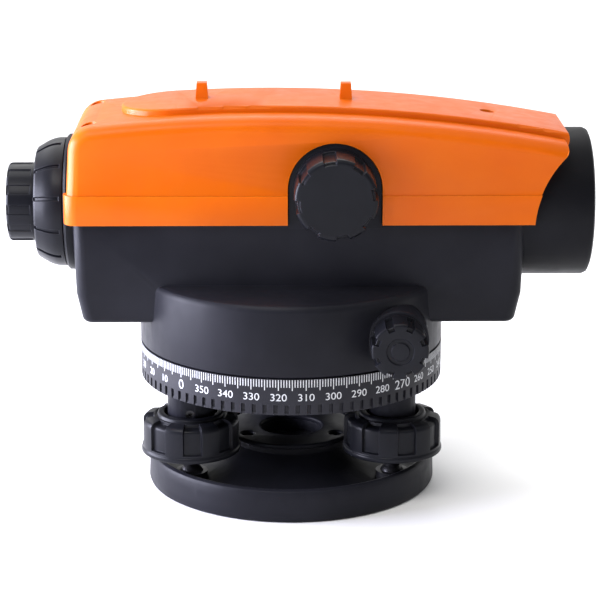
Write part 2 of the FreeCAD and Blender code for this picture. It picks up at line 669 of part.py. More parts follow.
def telescope_housing():
    base = V(WORM_X, 0, WORM_Z)
    outer = drafted_box(0, BODY_Z - 1, SPLIT_Z - 0.4, BODY_CORNER_R)
    bend_pull = (SPLIT_Z - BEND_Z) * BODY_LEAN
    skirt = drafted_box(bend_pull, BODY_Z, SPLIT_Z + 5, BODY_CORNER_R, SKIRT_LEAN, BEND_Z)
    outer = outer.common(skirt)
    outer = rounded(outer, 2.5, lambda e: e.BoundBox.ZMax < BODY_Z + 0.01)
    lip = drafted_box(LIP_INSET, SPLIT_Z - 1, SPLIT_Z + LIP_H, 3.0)
    drum = turned([(DRUM_Z, 0), (DRUM_Z, DRUM_R - 0.4), (DRUM_Z + 0.4, DRUM_R), (DRUM_TOP - 2.6, DRUM_R),
                   (DRUM_TOP - 1.3, DRUM_R - 0.35), (DRUM_TOP - 0.5, DRUM_R - 1.0),
                   (DRUM_TOP, DRUM_R - 2.4), (DRUM_TOP, 0)])
    r = TANGENT_BOSS_R
    boss_profile = [(TANGENT_BOSS_IN, 0), (TANGENT_BOSS_IN, r), (TANGENT_BOSS_Y - 0.8, r),
                    (TANGENT_BOSS_Y - 0.25, r - 0.25), (TANGENT_BOSS_Y, r - 0.8), (TANGENT_BOSS_Y, 0)]
    bosses = [turned(boss_profile, base, side) for side in ("-Y", "Y")]
    arch = focus_arch(FOCUS_BOSS_R, -FOCUS_BOSS_FACE, -BORE_SIDE, SPLIT_Z - 1.5)
    body = joined(outer, lip, drum, arch)
    cavity = drafted_box(BODY_WALL, FLOOR_Z, SPLIT_Z + LIP_H + 1, 3.0)
    rear_pocket = drafted_box(BODY_WALL, BODY_Z + BODY_WALL, FLOOR_Z + 1, 3.0)
    rear_pocket = rear_pocket.cut(cyl(DRUM_R + 0.2, BODY_Z, FLOOR_Z + 2))
    under = cyl(DRUM_R - DRUM_WALL, DRUM_Z - 1, DRUM_TOP - DRUM_WALL)
    body = carved(body, cavity, rear_pocket, under)
    hub = cyl(HUB_R, COLUMN_TOP + GAP, FLOOR_Z + 6)
    wall_y = BORE_SIDE + 0.5
    front_wall = box((BARREL_REAR_X - 4, -wall_y, FLOOR_Z), (BARREL_REAR_X, wall_y, BULKHEAD_TOP))
    rear_wall = box((EYE_COLLAR_X[1] + REAR_WALL_IN, -wall_y, FLOOR_Z),
                    (EYE_COLLAR_X[1] + REAR_WALL_IN + 3.4, wall_y, BULKHEAD_TOP - 2))
    post_top = REAR_SCREW_Z - COVER_BOSS_T - GAP
    spots = [V(REAR_SCREW_X, y, 0) for y in (-REAR_SCREW_Y, REAR_SCREW_Y)]
    posts = [cyl(POST_R, FLOOR_Z, post_top, spot) for spot in spots]
    body = joined(body, hub, front_wall, rear_wall, *posts, *bosses)
    axis = V(0, 0, AXIS_Z)
    cuts = [
        cyl(JOURNAL_R + 2.5, COLUMN_TOP - 1, FLOOR_Z + 7),
        cyl(SPIGOT_R, BARREL_REAR_X - 6, BARREL_REAR_X + 4, axis, "X"),
        cyl(BARREL_R + 0.1, BARREL_REAR_X, BARREL_REAR_X + 8, axis, "X"),
        cyl(EYE_TUBE_R, EYE_COLLAR_X[1] - 6, EYE_TUBE_FRONT_X, axis, "X"),
        cyl(EYE_COLLAR_R + 0.05, EYE_COLLAR_X[1] - 8, EYE_COLLAR_X[1], axis, "X"),
        cyl(TANGENT_BUSH_R, -TANGENT_BOSS_Y - 1, TANGENT_BOSS_Y + 1, base, "Y"),
        cyl(FOCUS_BUSH_R, -FOCUS_BOSS_FACE - 1, -BORE_SIDE + 3, V(FOCUS_X, 0, FOCUS_Z), "Y")]
    hole_z = REAR_SCREW_Z - COVER_SCREW_L - GAP
    cuts += [cyl(COVER_SCREW_R, hole_z, post_top + 1, spot) for spot in spots]
    save("telescope_housing", carved(body, *cuts))


def housing_fittings():
    save("axis_bush", tube(JOURNAL_R + 2.5, JOURNAL_R + RUN, COLUMN_TOP + GAP, FLOOR_Z + 6))
    plate = tube(DRUM_R - DRUM_WALL - 2 * RUN, COLUMN_R + 8, DRUM_Z, DRUM_Z + 1.5)
    holes = [cyl(1.3, DRUM_Z - 1, DRUM_Z + 3, polar(DRUM_R - DRUM_WALL - 4, a)) for a in (30, 150, 270)]
    holes += [cyl(TANGENT_BOSS_R + RUN, TANGENT_BOSS_IN - 1, DRUM_R, V(WORM_X, 0, WORM_Z), side)
              for side in ("-Y", "Y")]
    screws = []
    for a in (30, 150, 270):
        at = polar(DRUM_R - DRUM_WALL - 4, a)
        screws.append(cyl(1.3, DRUM_Z, DRUM_Z + 6, at).fuse(cyl(2.4, DRUM_Z + 1.5, DRUM_Z + 3.0, at)))
    save("drum_floor", plate.cut(holes), *screws)


# ======================= top cover =======================
def crest_z(x, lift=0.0):
    """Height of the cover's long arched top over a station."""
    return COVER_CREST_Z + lift - (COVER_CREST_R - math.sqrt(COVER_CREST_R ** 2 - (x - COVER_CREST_X) ** 2))


def cover_outline(inset, low, front_x, lift=0.0):
    """Rear wall and long top of the cover in the plane Y = 0, pulled in by inset."""
    start = V(COVER_REAR_X + inset, 0, low)
    corner_x = COVER_REAR_X + COVER_REAR_LEAN + inset
    corner = V(corner_x, 0, crest_z(corner_x, lift) - inset)
    front_top = V(front_x, 0, crest_z(front_x, lift) - inset)
    mid_x = (corner_x + front_x) / 2
    middle = V(mid_x, 0, crest_z(mid_x, lift) - inset)
    edges = [Part.makeLine(start, corner), Part.Arc(corner, middle, front_top).toShape()]
    return edges, start, corner, front_top


def cover_solid(inset, low, half_w, edge_r, front_x, concave):
    edges, start, corner, front_top = cover_outline(inset, low, front_x)
    if concave:
        lip = V(front_x - 0.6, 0, front_top.z - 4.5)
        foot = V(COVER_FRONT_BOTTOM_X, 0, low)
        middle = V(foot.x + (lip.x - foot.x) * 0.26, 0, low + (lip.z - low) * 0.5)
        edges.append(Part.Arc(front_top, V(front_x + 0.5, 0, front_top.z - 2.2), lip).toShape())
        edges.append(Part.Arc(lip, middle, foot).toShape())
    else:
        foot = V(front_x, 0, low)
        edges.append(Part.makeLine(front_top, foot))
    edges.append(Part.makeLine(foot, start))
    solid = Part.Face(Part.Wire(edges)).extrude(V(0, 2 * half_w, 0))
    solid.translate(V(0, -half_w, 0))

    def at_corner(edge):
        b = edge.BoundBox
        return b.YLength > half_w and abs(b.XMin - corner.x) < 0.01 and b.ZMin > corner.z - 0.01
    solid = rounded(solid, COVER_CORNER_R - inset, at_corner)

    def on_rim(edge):
        b = edge.BoundBox
        if b.YLength > 0.01 or abs(abs(b.YMin) - half_w) > 0.01:
            return False
        middle = edge.valueAt((edge.FirstParameter + edge.LastParameter) / 2)
        at_rear = middle.x < corner.x + COVER_CORNER_R and middle.z > low + 1
        on_top = middle.x < front_x - 5 and middle.z > front_top.z - 1
        return at_rear or on_top
    return rounded(solid, edge_r, on_rim)


def top_cover():
    outer = cover_solid(0, SPLIT_Z, COVER_HALF_W, COVER_EDGE_R, COVER_FRONT_TOP_X, True)
    # the band along the lower edge stands a little proud
    band = rectangle_wire(COVER_REAR_X - COVER_BAND, COVER_FRONT_BOTTOM_X + 12, COVER_HALF_W + COVER_BAND,
                          SPLIT_Z, 5.0)
    band = Part.Face(band).extrude(V(0, 0, COVER_BAND_H))
    front_trim = cover_solid(0, SPLIT_Z - 1, COVER_HALF_W + 5, 0.5, COVER_FRONT_TOP_X, True)
    reach = box((COVER_REAR_X - 5, -40, SPLIT_Z - 1), (0, 40, SPLIT_Z + COVER_BAND_H + 1))
    band = band.common(front_trim.fuse(reach))
    # raised deck with a round nose, running to the front
    deck_r = DECK_HALF_W
    deck_plan = cyl(deck_r, 110, 150, V(DECK_REAR_X + deck_r, 0, 0)).fuse(
        box((DECK_REAR_X + deck_r, -deck_r, 110), (COVER_FRONT_TOP_X + 4, deck_r, 150)))
    edges, start, _, front_top = cover_outline(0, 115.0, COVER_FRONT_TOP_X + 1.4, DECK_H)
    nose = V(front_top.x - 1.5, 0, front_top.z - 6.5)
    edges.append(Part.Arc(front_top, V(front_top.x + 0.4, 0, front_top.z - 2.6), nose).toShape())
    edges.append(Part.makeLine(nose, V(nose.x - 12, 0, 115.0)))
    edges.append(Part.makeLine(V(nose.x - 12, 0, 115.0), start))
    slab = Part.Face(Part.Wire(edges)).extrude(V(0, 80, 0))
    slab.translate(V(0, -40, 0))
    deck = slab.common(deck_plan)
    deck = rounded(deck, 1.0, lambda edge: (edge.BoundBox.ZMin > 125 and edge.BoundBox.ZMax < 141
                                            and edge.BoundBox.XLength > 8))
    body = outer.fuse([band, deck])
    cavity = cover_solid(COVER_WALL, SPLIT_Z - 5, COVER_HALF_W - COVER_WALL, 2.6, BARREL_REAR_X + 0.6, False)
    axis = V(0, 0, AXIS_Z)
    throat_r = BARREL_R + 0.7
    throat = cyl(throat_r, BARREL_REAR_X - 2, BARREL_FRONT_X, axis, "X").fuse(
        box((BARREL_REAR_X - 2, -throat_r, SPLIT_Z - 5), (BARREL_FRONT_X, throat_r, AXIS_Z)))
    eye_r = EYE_COLLAR_R + 0.4
    eye_arch = cyl(eye_r, COVER_REAR_X - 3, COVER_REAR_X + 6, axis, "X").fuse(
        box((COVER_REAR_X - 3, -eye_r, SPLIT_Z - 5), (COVER_REAR_X + 6, eye_r, AXIS_Z)))
    knob_arch = focus_arch(FOCUS_BOSS_R + COVER_GAP, -COVER_HALF_W - 3, -COVER_HALF_W + COVER_WALL + 4,
                           SPLIT_Z - 5)
    body = body.cut([cavity, throat, eye_arch, knob_arch])
    sights = []
    for x in SIGHT_XS:
        top = crest_z(x, DECK_H)
        nub = Part.makeLoft([
            Part.makePolygon([V(x + sx * SIGHT_L / 2 * k, sy * SIGHT_W / 2 * k, top + z)
                              for sx, sy in ((-1, -1), (1, -1), (1, 1), (-1, 1), (-1, -1))])
            for k, z in ((1.0, -0.8), (0.8, SIGHT_H))], True, True)
        sights.append(nub)
    body = body.fuse(sights)
    spots = [(REAR_SCREW_X, -REAR_SCREW_Y, REAR_SCREW_Z), (REAR_SCREW_X, REAR_SCREW_Y, REAR_SCREW_Z),
             (FRONT_SCREW_X, 0.0, FRONT_SCREW_Z)]
    for x, y, ledge in spots:
        boss = cyl(4.0, ledge - COVER_BOSS_T, ledge + 1.5, V(x, y, 0))
        body = body.fuse(boss.common(box((-100, -40, 100), (100, 40, crest_z(x) - 0.5))))
    for x, y, ledge in spots:
        at = V(x, y, 0)
        sink = cyl(COVER_SCREW_HEAD_R + 0.15, ledge, crest_z(x) + 10, at)
        body = body.cut([sink, cyl(COVER_SCREW_R + GAP, ledge - COVER_BOSS_T - 5, ledge + 1, at)])
    save("top_cover", body.removeSplitter())
    screws = []
    for x, y, ledge in spots:
        one = cyl(COVER_SCREW_HEAD_R, 0, 1.5).fuse(cyl(COVER_SCREW_R, -COVER_SCREW_L, 0))
        cross = box((-1.5, -0.3, 0.7), (1.5, 0.3, 2)).fuse(box((-0.3, -1.5, 0.7), (0.3, 1.5, 2)))
        screws.append(moved(one.cut(cross), x, y, ledge))
    save("cover_screws", *screws)


# ======================= objective =======================
def lens(x0, x1, radius, front_bulge, rear_bulge):
    """Round lens on the optical axis. A bulge above zero is convex, and below zero is hollow."""
    centre = V(0, 0, AXIS_Z)
    body = cyl(radius, x0 - max(rear_bulge, 0), x1 + max(front_bulge, 0), centre, "X")
    for bulge, rim_x, side in ((front_bulge, x1, 1), (rear_bulge, x0, -1)):
        if bulge:
            curve_r = (radius ** 2 + bulge ** 2) / (2 * abs(bulge))
            x = rim_x + side * (bulge - math.copysign(curve_r, bulge))
            ball = Part.makeSphere(curve_r, centre + V(x, 0, 0), AXIS["X"])
            body = body.common(ball) if bulge > 0 else body.cut(ball)
    return body


def objective():
    axis = V(0, 0, AXIS_Z)
    crown_x = LENS_SEAT_X + FLINT_T
    ring_x = crown_x + CROWN_T
    profile = [
        (SPIGOT_REAR_X, SPIGOT_BORE_R), (SPIGOT_REAR_X, SPIGOT_R), (BARREL_REAR_X, SPIGOT_R),
        (BARREL_REAR_X, BARREL_R), (BARREL_FRONT_X - 2.0, BARREL_R), (BARREL_FRONT_X - 0.6, BARREL_R - 0.6),
        (BARREL_FRONT_X, BARREL_R - 2.0), (BARREL_FRONT_X, BARREL_R - 3.2),
        (BARREL_FRONT_X - 1.0, BARREL_R - 3.6), (BARREL_FRONT_X - 3.0, LENS_R + 0.8),
        (ring_x + RETAINER_L, LENS_R), (LENS_SEAT_X, LENS_R), (LENS_SEAT_X, SPIGOT_BORE_R)]
    barrel = turned(profile, axis, "X")
    turret_top = FRONT_SCREW_Z - COVER_BOSS_T - GAP
    turret = cyl(POST_R, AXIS_Z + SPIGOT_BORE_R + 1, turret_top, V(FRONT_SCREW_X, 0, 0))
    hole = cyl(COVER_SCREW_R, FRONT_SCREW_Z - COVER_SCREW_L - GAP, turret_top + 1, V(FRONT_SCREW_X, 0, 0))
    barrel = barrel.fuse(turret).cut(hole)
    rods = [cyl(ROD_R, SPIGOT_REAR_X - 1, SPIGOT_REAR_X + 5, rod_at(a), "X") for a in ROD_ANGLES]
    save("objective_barrel", barrel.cut(rods))
    glass_r = LENS_R - RUN
    flint = lens(LENS_SEAT_X, crown_x, glass_r, -2.2, -0.6)
    crown = lens(crown_x, ring_x - 0.3, glass_r, 1.8, 2.2)
    save("objective_lenses", flint, crown)
    ring = turned([(ring_x, LENS_R - 1.4), (ring_x, LENS_R), (ring_x + RETAINER_L, LENS_R),
                   (ring_x + RETAINER_L, LENS_R - 1.0)], axis, "X")
    notch = box((ring_x + RETAINER_L - 1.0, -1.2, AXIS_Z + LENS_R - 3.5),
                (ring_x + RETAINER_L + 1, 1.2, AXIS_Z + LENS_R - 0.5))
    save("objective_retaining_ring", ring.cut(ring_of(notch, 2, axis, "X")))


# ======================= focusing =======================
def rod_at(angle):
    p = polar(ROD_PCR, angle)
    return V(0, p.x, AXIS_Z + p.y)


def focusing():
    rods = [cyl(ROD_R, BRACKET_X, SPIGOT_REAR_X + 5, rod_at(a), "X") for a in ROD_ANGLES]
    plate = box((BRACKET_X, -22.3, FLOOR_Z), (BRACKET_X + BRACKET_T, 22.5, AXIS_Z + 4))
    foot = box((BRACKET_X, -18, FLOOR_Z), (BRACKET_X + 9, 18, FLOOR_Z + 2.4))
    cuts = [cyl(HUB_R, FLOOR_Z - 1, FLOOR_Z + 6.2),
            cyl(12.5, BRACKET_X - 1, BRACKET_X + 20, V(0, 0, AXIS_Z), "X"),
            box((BRACKET_X - 1, -12.5, AXIS_Z), (BRACKET_X + 9, 12.5, AXIS_Z + 9)),
            box((BRACKET_X - 1, -30, AXIS_Z - 3), (BRACKET_X + 9, 0, AXIS_Z + 9))]
    cuts += [cyl(ROD_R, BRACKET_X - 1, BRACKET_X + 9, rod_at(a), "X") for a in ROD_ANGLES]
    save("focus_rods", plate.fuse(foot).cut(cuts), *rods)
    # carriage: lens ring, two ears on the rods, and the rack
    axis = V(0, 0, AXIS_Z)
    front = CARRIAGE_X + CARRIAGE_L
    ring = cyl(CARRIAGE_R, CARRIAGE_X, front, axis, "X")
    right = rod_at(ROD_ANGLES[0])
    left = rod_at(ROD_ANGLES[1])
    ears = [cyl(ROD_R + 1.6, CARRIAGE_X, front, right, "X"), cyl(ROD_R + 1.6, CARRIAGE_X, front, left, "X"),
            box((CARRIAGE_X, 8, AXIS_Z - 2), (front, right.y, AXIS_Z + 2)),
            box((CARRIAGE_X, left.y, left.z - 2), (front, -8, left.z + 2))]
    rack_root = RACK_Z - 1.3 * PINION_MODULE
    rear = FOCUS_X - FOCUS_TRAVEL - 3 * RACK_PITCH
    bar = box((rear, RACK_Y[0], rack_root - RACK_BACK), (front, RACK_Y[1], rack_root))
    arm = box((CARRIAGE_X, RACK_Y[0], AXIS_Z - 1), (front, -9, rack_root))
    body = ring.fuse(ears + [bar, arm])
    teeth = []
    count = int((FOCUS_TRAVEL + 3 * RACK_PITCH) / RACK_PITCH)
    for i in range(-count, count + 1):
        x = FOCUS_X + (i + 0.5) * RACK_PITCH
        if rear < x - 0.6 and x + 0.6 < CARRIAGE_X + 4:
            outline = [(x - 0.36 * RACK_PITCH, rack_root - 0.1), (x + 0.36 * RACK_PITCH, rack_root - 0.1),
                       (x + 0.12 * RACK_PITCH, RACK_Z + 0.85 * PINION_MODULE),
                       (x - 0.12 * RACK_PITCH, RACK_Z + 0.85 * PINION_MODULE)]
            teeth.append(prism(outline, "Y", RACK_Y[0], RACK_Y[1]))
    body = body.fuse(teeth)
    bores = [cyl(ROD_R + RUN, CARRIAGE_X - 1, front + 1, p, "X") for p in (left, right)]
    bores += [cyl(FOCUS_LENS_R, CARRIAGE_X + 3, front + 1, axis, "X"),
              cyl(FOCUS_LENS_R - 1.2, CARRIAGE_X - 1, front, axis, "X")]
    save("focus_carriage", body.cut(bores).removeSplitter())
    save("focus_lens", lens(CARRIAGE_X + 3, CARRIAGE_X + 7, FOCUS_LENS_R, -0.9, -0.6))
    # knob and pinion
    base = V(FOCUS_X, 0, FOCUS_Z)
    near = FOCUS_BOSS_FACE + GAP
    far = near + FOCUS_KNOB_L
    r0 = FOCUS_KNOB_REAR_R
    r1 = FOCUS_KNOB_FRONT_R
    knob = turned([(near, FOCUS_SHAFT_R), (near, r0 - 0.5), (near + 0.8, r0), (far - 2.4, r1 + 0.1),
                   (far - 0.8, r1 - 0.5), (far, r1 - 2.2), (far, 0), (far - 3, 0), (far - 3, FOCUS_SHAFT_R)],
                  base, "-Y")
    flute = cyl(2.3, near + 3.2, far + 1, base + V(0, 0, r1 + 1.0), "-Y")
    flat = box((FOCUS_X - 2.2, -far - 1, FOCUS_Z + r1 - 0.9), (FOCUS_X + 2.2, -near - 3.2, FOCUS_Z + r0 + 2))
    save("focus_knob", knob.cut(ring_of(flute.fuse(flat), 8, base, "Y", -9.0)))
    shaft = cyl(FOCUS_SHAFT_R, -far + 3, RACK_Y[0] - 1.0, base, "Y")
    pinion = gear_blank(PINION_TEETH, PINION_R, PINION_R + 0.8 * PINION_MODULE,
                        PINION_R - 1.15 * PINION_MODULE, 0.38, 0, RACK_Y[1] - RACK_Y[0] + 1.2, 0.0)
    # a tooth stands straight down at rest, between two teeth of the rack
    pinion.rotate(ORIGIN, V(1, 0, 0), -90)
    pinion.rotate(ORIGIN, V(0, 1, 0), 90)
    pinion.translate(base + V(0, RACK_Y[0] - 1.2, 0))
    save("focus_pinion_shaft", shaft.fuse(pinion))
    save("focus_bush", tube(FOCUS_BUSH_R, FOCUS_SHAFT_R + RUN, BORE_SIDE - 3.5, FOCUS_BOSS_FACE, base, "-Y"))


# ======================= eyepiece =======================
def eyepiece():
    axis = V(0, 0, AXIS_Z)
    profile = [
        (SNOUT_REAR_X, SNOUT_BORE_R), (SNOUT_REAR_X, SNOUT_R), (EYE_COLLAR_X[0], SNOUT_R),
        (EYE_COLLAR_X[0], EYE_COLLAR_R - 0.8), (EYE_COLLAR_X[0] + 0.8, EYE_COLLAR_R),
        (EYE_COLLAR_X[1], EYE_COLLAR_R), (EYE_COLLAR_X[1], EYE_TUBE_R), (EYE_TUBE_FRONT_X, EYE_TUBE_R),
        (EYE_TUBE_FRONT_X, EYE_TUBE_BORE_R),
        (EYE_COLLAR_X[1] + 1, EYE_TUBE_BORE_R), (EYE_COLLAR_X[1] + 1, SNOUT_BORE_R)]
    tube_solid = turned(profile, axis, "X")
    screw_hole = cyl(1.1, EYE_TUBE_BORE_R - 2, EYE_TUBE_R + 1, V(RETICLE_X, 0, AXIS_Z), "Z")
    tube_solid = tube_solid.cut(ring_of(screw_hole, 4, V(RETICLE_X, 0, AXIS_Z), "X", 45))
    save("eyepiece_tube", tube_solid)
    one = cyl(1.1, EYE_TUBE_BORE_R - 1.5, EYE_TUBE_R - 0.4, V(RETICLE_X, 0, AXIS_Z), "Z")
    screws = ring_of(one, 4, V(RETICLE_X, 0, AXIS_Z), "X", 45)
    holder = tube(EYE_TUBE_BORE_R - 0.4, 9.0, RETICLE_X - 2.2, RETICLE_X + 2.2, axis, "X")
    save("reticle_holder", holder.cut(screws), *screws)
    save("reticle_glass", cyl(9.0, RETICLE_X - 0.8, RETICLE_X + 0.8, axis, "X"))
    front = EYE_COLLAR_X[0] - 0.3
    rear = EYE_COVER_REAR_X
    cover = turned([(rear, SNOUT_R), (rear, EYE_COVER_REAR_R - 2.6), (rear + 0.4, EYE_COVER_REAR_R - 1.0),
                    (rear + 1.4, EYE_COVER_REAR_R), (rear + 4.5, EYE_COVER_REAR_R + 1.6),
                    (front - 1.4, EYE_COVER_R), (front - 0.2, EYE_COVER_R), (front, EYE_COVER_R - 0.4),
                    (front, SNOUT_R)], axis, "X")
    groove_z = AXIS_Z + EYE_COVER_REAR_R - 1.1
    groove = box((rear - 1, -0.55, groove_z), (front - 2.2, 0.55, AXIS_Z + EYE_COVER_R + 3))
    groove.rotate(V(rear, 0, groove_z), V(0, 1, 0), -14)
    save("eyepiece_cover", cover.cut(ring_of(groove, 12, axis, "X", 15)))
    ring_front = EYE_COVER_REAR_X - 0.3
    skirt_r = SNOUT_BORE_R - RUN
    end = DIOPTRE_REAR_X
    ring = turned([(end, EYE_HOLE_R), (end, DIOPTRE_R - 1.4), (end + 0.5, DIOPTRE_R - 0.5),
                   (end + 1.5, DIOPTRE_R), (ring_front - 0.3, DIOPTRE_R), (ring_front, DIOPTRE_R - 0.3),
                   (ring_front, skirt_r),
                   (ring_front + 7.0, skirt_r), (ring_front + 7.0, DIOPTRE_SKIRT_BORE_R),
                   (end + 1.6, DIOPTRE_SKIRT_BORE_R), (end + 1.0, EYE_HOLE_R + 1.6)], axis, "X")
    flat = box((end - 1, -1.5, AXIS_Z + DIOPTRE_R - 0.55), (ring_front - 1.2, 1.5, AXIS_Z + DIOPTRE_R + 3))
    save("dioptre_ring", ring.cut(ring_of(flat, 12, axis, "X")))
    cell = tube(CELL_R, CELL_R - CELL_WALL, CELL_X[0], CELL_X[1], axis, "X")
    save("eyepiece_cell", cell)
    lens_r = CELL_R - CELL_WALL
    save("eyepiece_lenses", lens(CELL_X[0] + 2.0, CELL_X[0] + 4.6, lens_r, 1.6, 0.0),
         lens(CELL_X[1] - 5.0, CELL_X[1] - 2.2, lens_r, 0.0, 1.5))


# ======================= compensator =======================
def compensator():
    x0 = COMP_X - COMP_HALF_L
    x1 = COMP_X + COMP_HALF_L
    cheek_out = COMP_CHEEK_Y + COMP_CHEEK_T
    cheeks = [box((x0, -cheek_out, FLOOR_Z), (x1, -COMP_CHEEK_Y, COMP_TOP)),
              box((x0, COMP_CHEEK_Y, FLOOR_Z), (x1, cheek_out, COMP_TOP))]
    bridge = box((COMP_X - 5, -cheek_out, COMP_TOP - 2.5), (COMP_X + 5, cheek_out, COMP_TOP))
    feet = [box((x0, y, FLOOR_Z), (x1, y + 4, FLOOR_Z + 2)) for y in (-cheek_out - 4, cheek_out)]
    frame = cheeks[0].fuse([cheeks[1], bridge] + feet)
    windows = [box((x, -30, FLOOR_Z + 6), (x + 8, 30, PENDULUM_PRISM_TOP)) for x in (COMP_X - 14, COMP_X + 6)]
    save("compensator_frame", frame.cut(windows))
    low = AXIS_Z - PRISM_FACE / 2
    high = AXIS_Z + PRISM_FACE / 2
    front_x = COMP_X + 15
    rear_x = COMP_X - 15
    front = prism([(front_x, low), (front_x, high), (front_x - PRISM_FACE, low)], "Y",
                  -COMP_CHEEK_Y, COMP_CHEEK_Y)
    rear = prism([(rear_x, low), (rear_x + PRISM_FACE, low), (rear_x, high)], "Y",
                 -COMP_CHEEK_Y, COMP_CHEEK_Y)
    save("fixed_prisms", front, rear)
    half = 15.5
    top = PENDULUM_PRISM_TOP
    bottom = top - PENDULUM_PRISM_H
    glass = prism([(COMP_X - half, top), (COMP_X - half + PENDULUM_PRISM_H, bottom),
                   (COMP_X + half - PENDULUM_PRISM_H, bottom), (COMP_X + half, top)], "Y", -8, 8)
    save("pendulum_prism", glass)
    arm = PENDULUM_ARM_Y + 1.8
    yoke_top = PIVOT_Z - 0.6
    cradle = box((COMP_X - 6, -arm, bottom - 1.6), (COMP_X + 6, arm, bottom))
    arms = [box((COMP_X - 3, y, bottom - 1.6), (COMP_X + 3, y + arm - 8, yoke_top)) for y in (-arm, 8)]
    yoke = box((COMP_X - 3, -arm, yoke_top - 2), (COMP_X + 3, arm, yoke_top))
    vane = box((COMP_X - 9, -6, bottom - 2.3), (COMP_X + 9, 6, bottom - 1.6))
    save("pendulum_frame", cradle.fuse(arms + [yoke]).removeSplitter(), vane)
    magnets = [cyl(3.6, FLOOR_Z, FLOOR_Z + 2.4, V(COMP_X + dx, 0, 0)) for dx in (-5, 5)]
    save("damper_magnets", *magnets)
    tops = [V(COMP_X + dx, dy, 0) for dx in (-2, 2) for dy in (-7, 7)]
    wires = [cyl(WIRE_R, yoke_top + 0.1, COMP_TOP - 2.5, spot) for spot in tops]
    save("suspension_wires", *wires)


# ======================= circular vial and mirror =======================
def circular_vial():
    at = V(VIAL_X, VIAL_Y, 0)
    base_z = DRUM_TOP
    top = base_z + VIAL_H
    glass_r = VIAL_R - 1.6
    cup = turned([(base_z, 0), (base_z, VIAL_FLANGE_R), (base_z + 1.6, VIAL_FLANGE_R),
                  (base_z + 2.0, VIAL_FLANGE_R - 0.4), (base_z + 2.0, VIAL_R), (top - 0.4, VIAL_R),
                  (top, VIAL_R - 0.4), (top, glass_r), (base_z + 1.8, glass_r), (base_z + 1.8, 0)], at)
    spots = [polar(VIAL_FLANGE_R - 1.75, a) for a in (90, 210, 330)]
    holes = [cyl(0.9, base_z - 1, base_z + 3, at + p) for p in spots]
    save("vial_housing", cup.cut(holes))
    screws = [moved(screw(1.25, 1.2, 0.9, 2.0, 0.4), at.x + p.x, at.y + p.y, base_z + 2.0) for p in spots]
    save("vial_screws", *screws)
    glass = cyl(glass_r, base_z + 1.8, top - 0.4, at)
    hollow = cyl(glass_r - 1.0, base_z + 2.6, top - 1.4, at)
    save("vial_glass", glass.cut(hollow))
    bubble = Part.makeSphere(6.0, at + V(0, 0, top - 1.4 + 4.9))
    save("vial_liquid", hollow.cut(bubble))


def vial_mirror():
    x = MIRROR_PIN_X
    z = MIRROR_PIN_Z
    y0 = VIAL_Y - MIRROR_W / 2
    y1 = VIAL_Y + MIRROR_W / 2
    ear_t = 2.0
    base_z = DRUM_TOP
    foot = box((x - 2.5, y0 - GAP - ear_t, base_z), (x + 5, y1 + GAP + ear_t, base_z + 2.2))
    ears = []
    for a in (y0 - GAP - ear_t, y1 + GAP):
        ear = box((x - 2.5, a, base_z), (x + 2.5, a + ear_t, z))
        ears.append(ear.fuse(cyl(2.5, a, a + ear_t, V(x, 0, z), "Y")))
    bracket = foot.fuse(ears).cut(cyl(MIRROR_PIN_R, y0 - 6, y1 + 6, V(x, 0, z), "Y"))
    pin = cyl(MIRROR_PIN_R, y0 - GAP - ear_t - 0.4, y1 + GAP + ear_t + 0.4, V(x, 0, z), "Y")
    save("mirror_bracket", bracket, pin)
    barrel = cyl(2.1, y0, y1, V(x, 0, z), "Y")
    plate = box((x - MIRROR_L, y0, z - 1.2), (x - 1, y1, z + 1.2))
    recess = box((x - MIRROR_L + 1.5, y0 + 1.2, z - 2), (x - 4.0, y1 - 1.2, z - 0.2))
    bore = cyl(MIRROR_PIN_R + RUN, y0 - 1, y1 + 1, V(x, 0, z), "Y")
    frame = barrel.fuse(plate).cut([recess, bore])
    glass = box((x - MIRROR_L + 1.5, y0 + 1.2, z - 1.0), (x - 4.0, y1 - 1.2, z - 0.2))
    save("mirror_frame", turn(frame, MIRROR_OPEN_DEG, V(x, 0, z), "Y"))
    save("mirror_glass", turn(glass, MIRROR_OPEN_DEG, V(x, 0, z), "Y"))


for build_piece in (base_plate, tripod_bush, hub_flange, ball_cups, foot_screws, levelling_head,
                    head_fittings, horizontal_circle, vertical_spindle, worm_wheel, tangent_screw,
                    telescope_housing, housing_fittings, top_cover, objective, focusing, eyepiece,
                    compensator, circular_vial, vial_mirror):
    build_piece()
print(len(os.listdir("parts")), "sub-parts")
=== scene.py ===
"""Looks of a surveyor's automatic level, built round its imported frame.

Metres, in the frame's own axes: +Z up the vertical axis and +X along the line of sight towards the
objective. Places come from the frame's boxes, so that each piece lies where its solid lies, and the
sizes that a box doesn't give are fields of the class that builds the piece.
"""

import json
import logging
import math
from dataclasses import dataclass
from enum import Enum
from typing import Callable, NamedTuple, Sequence

import bmesh
import bpy
from mathutils import Matrix, Vector

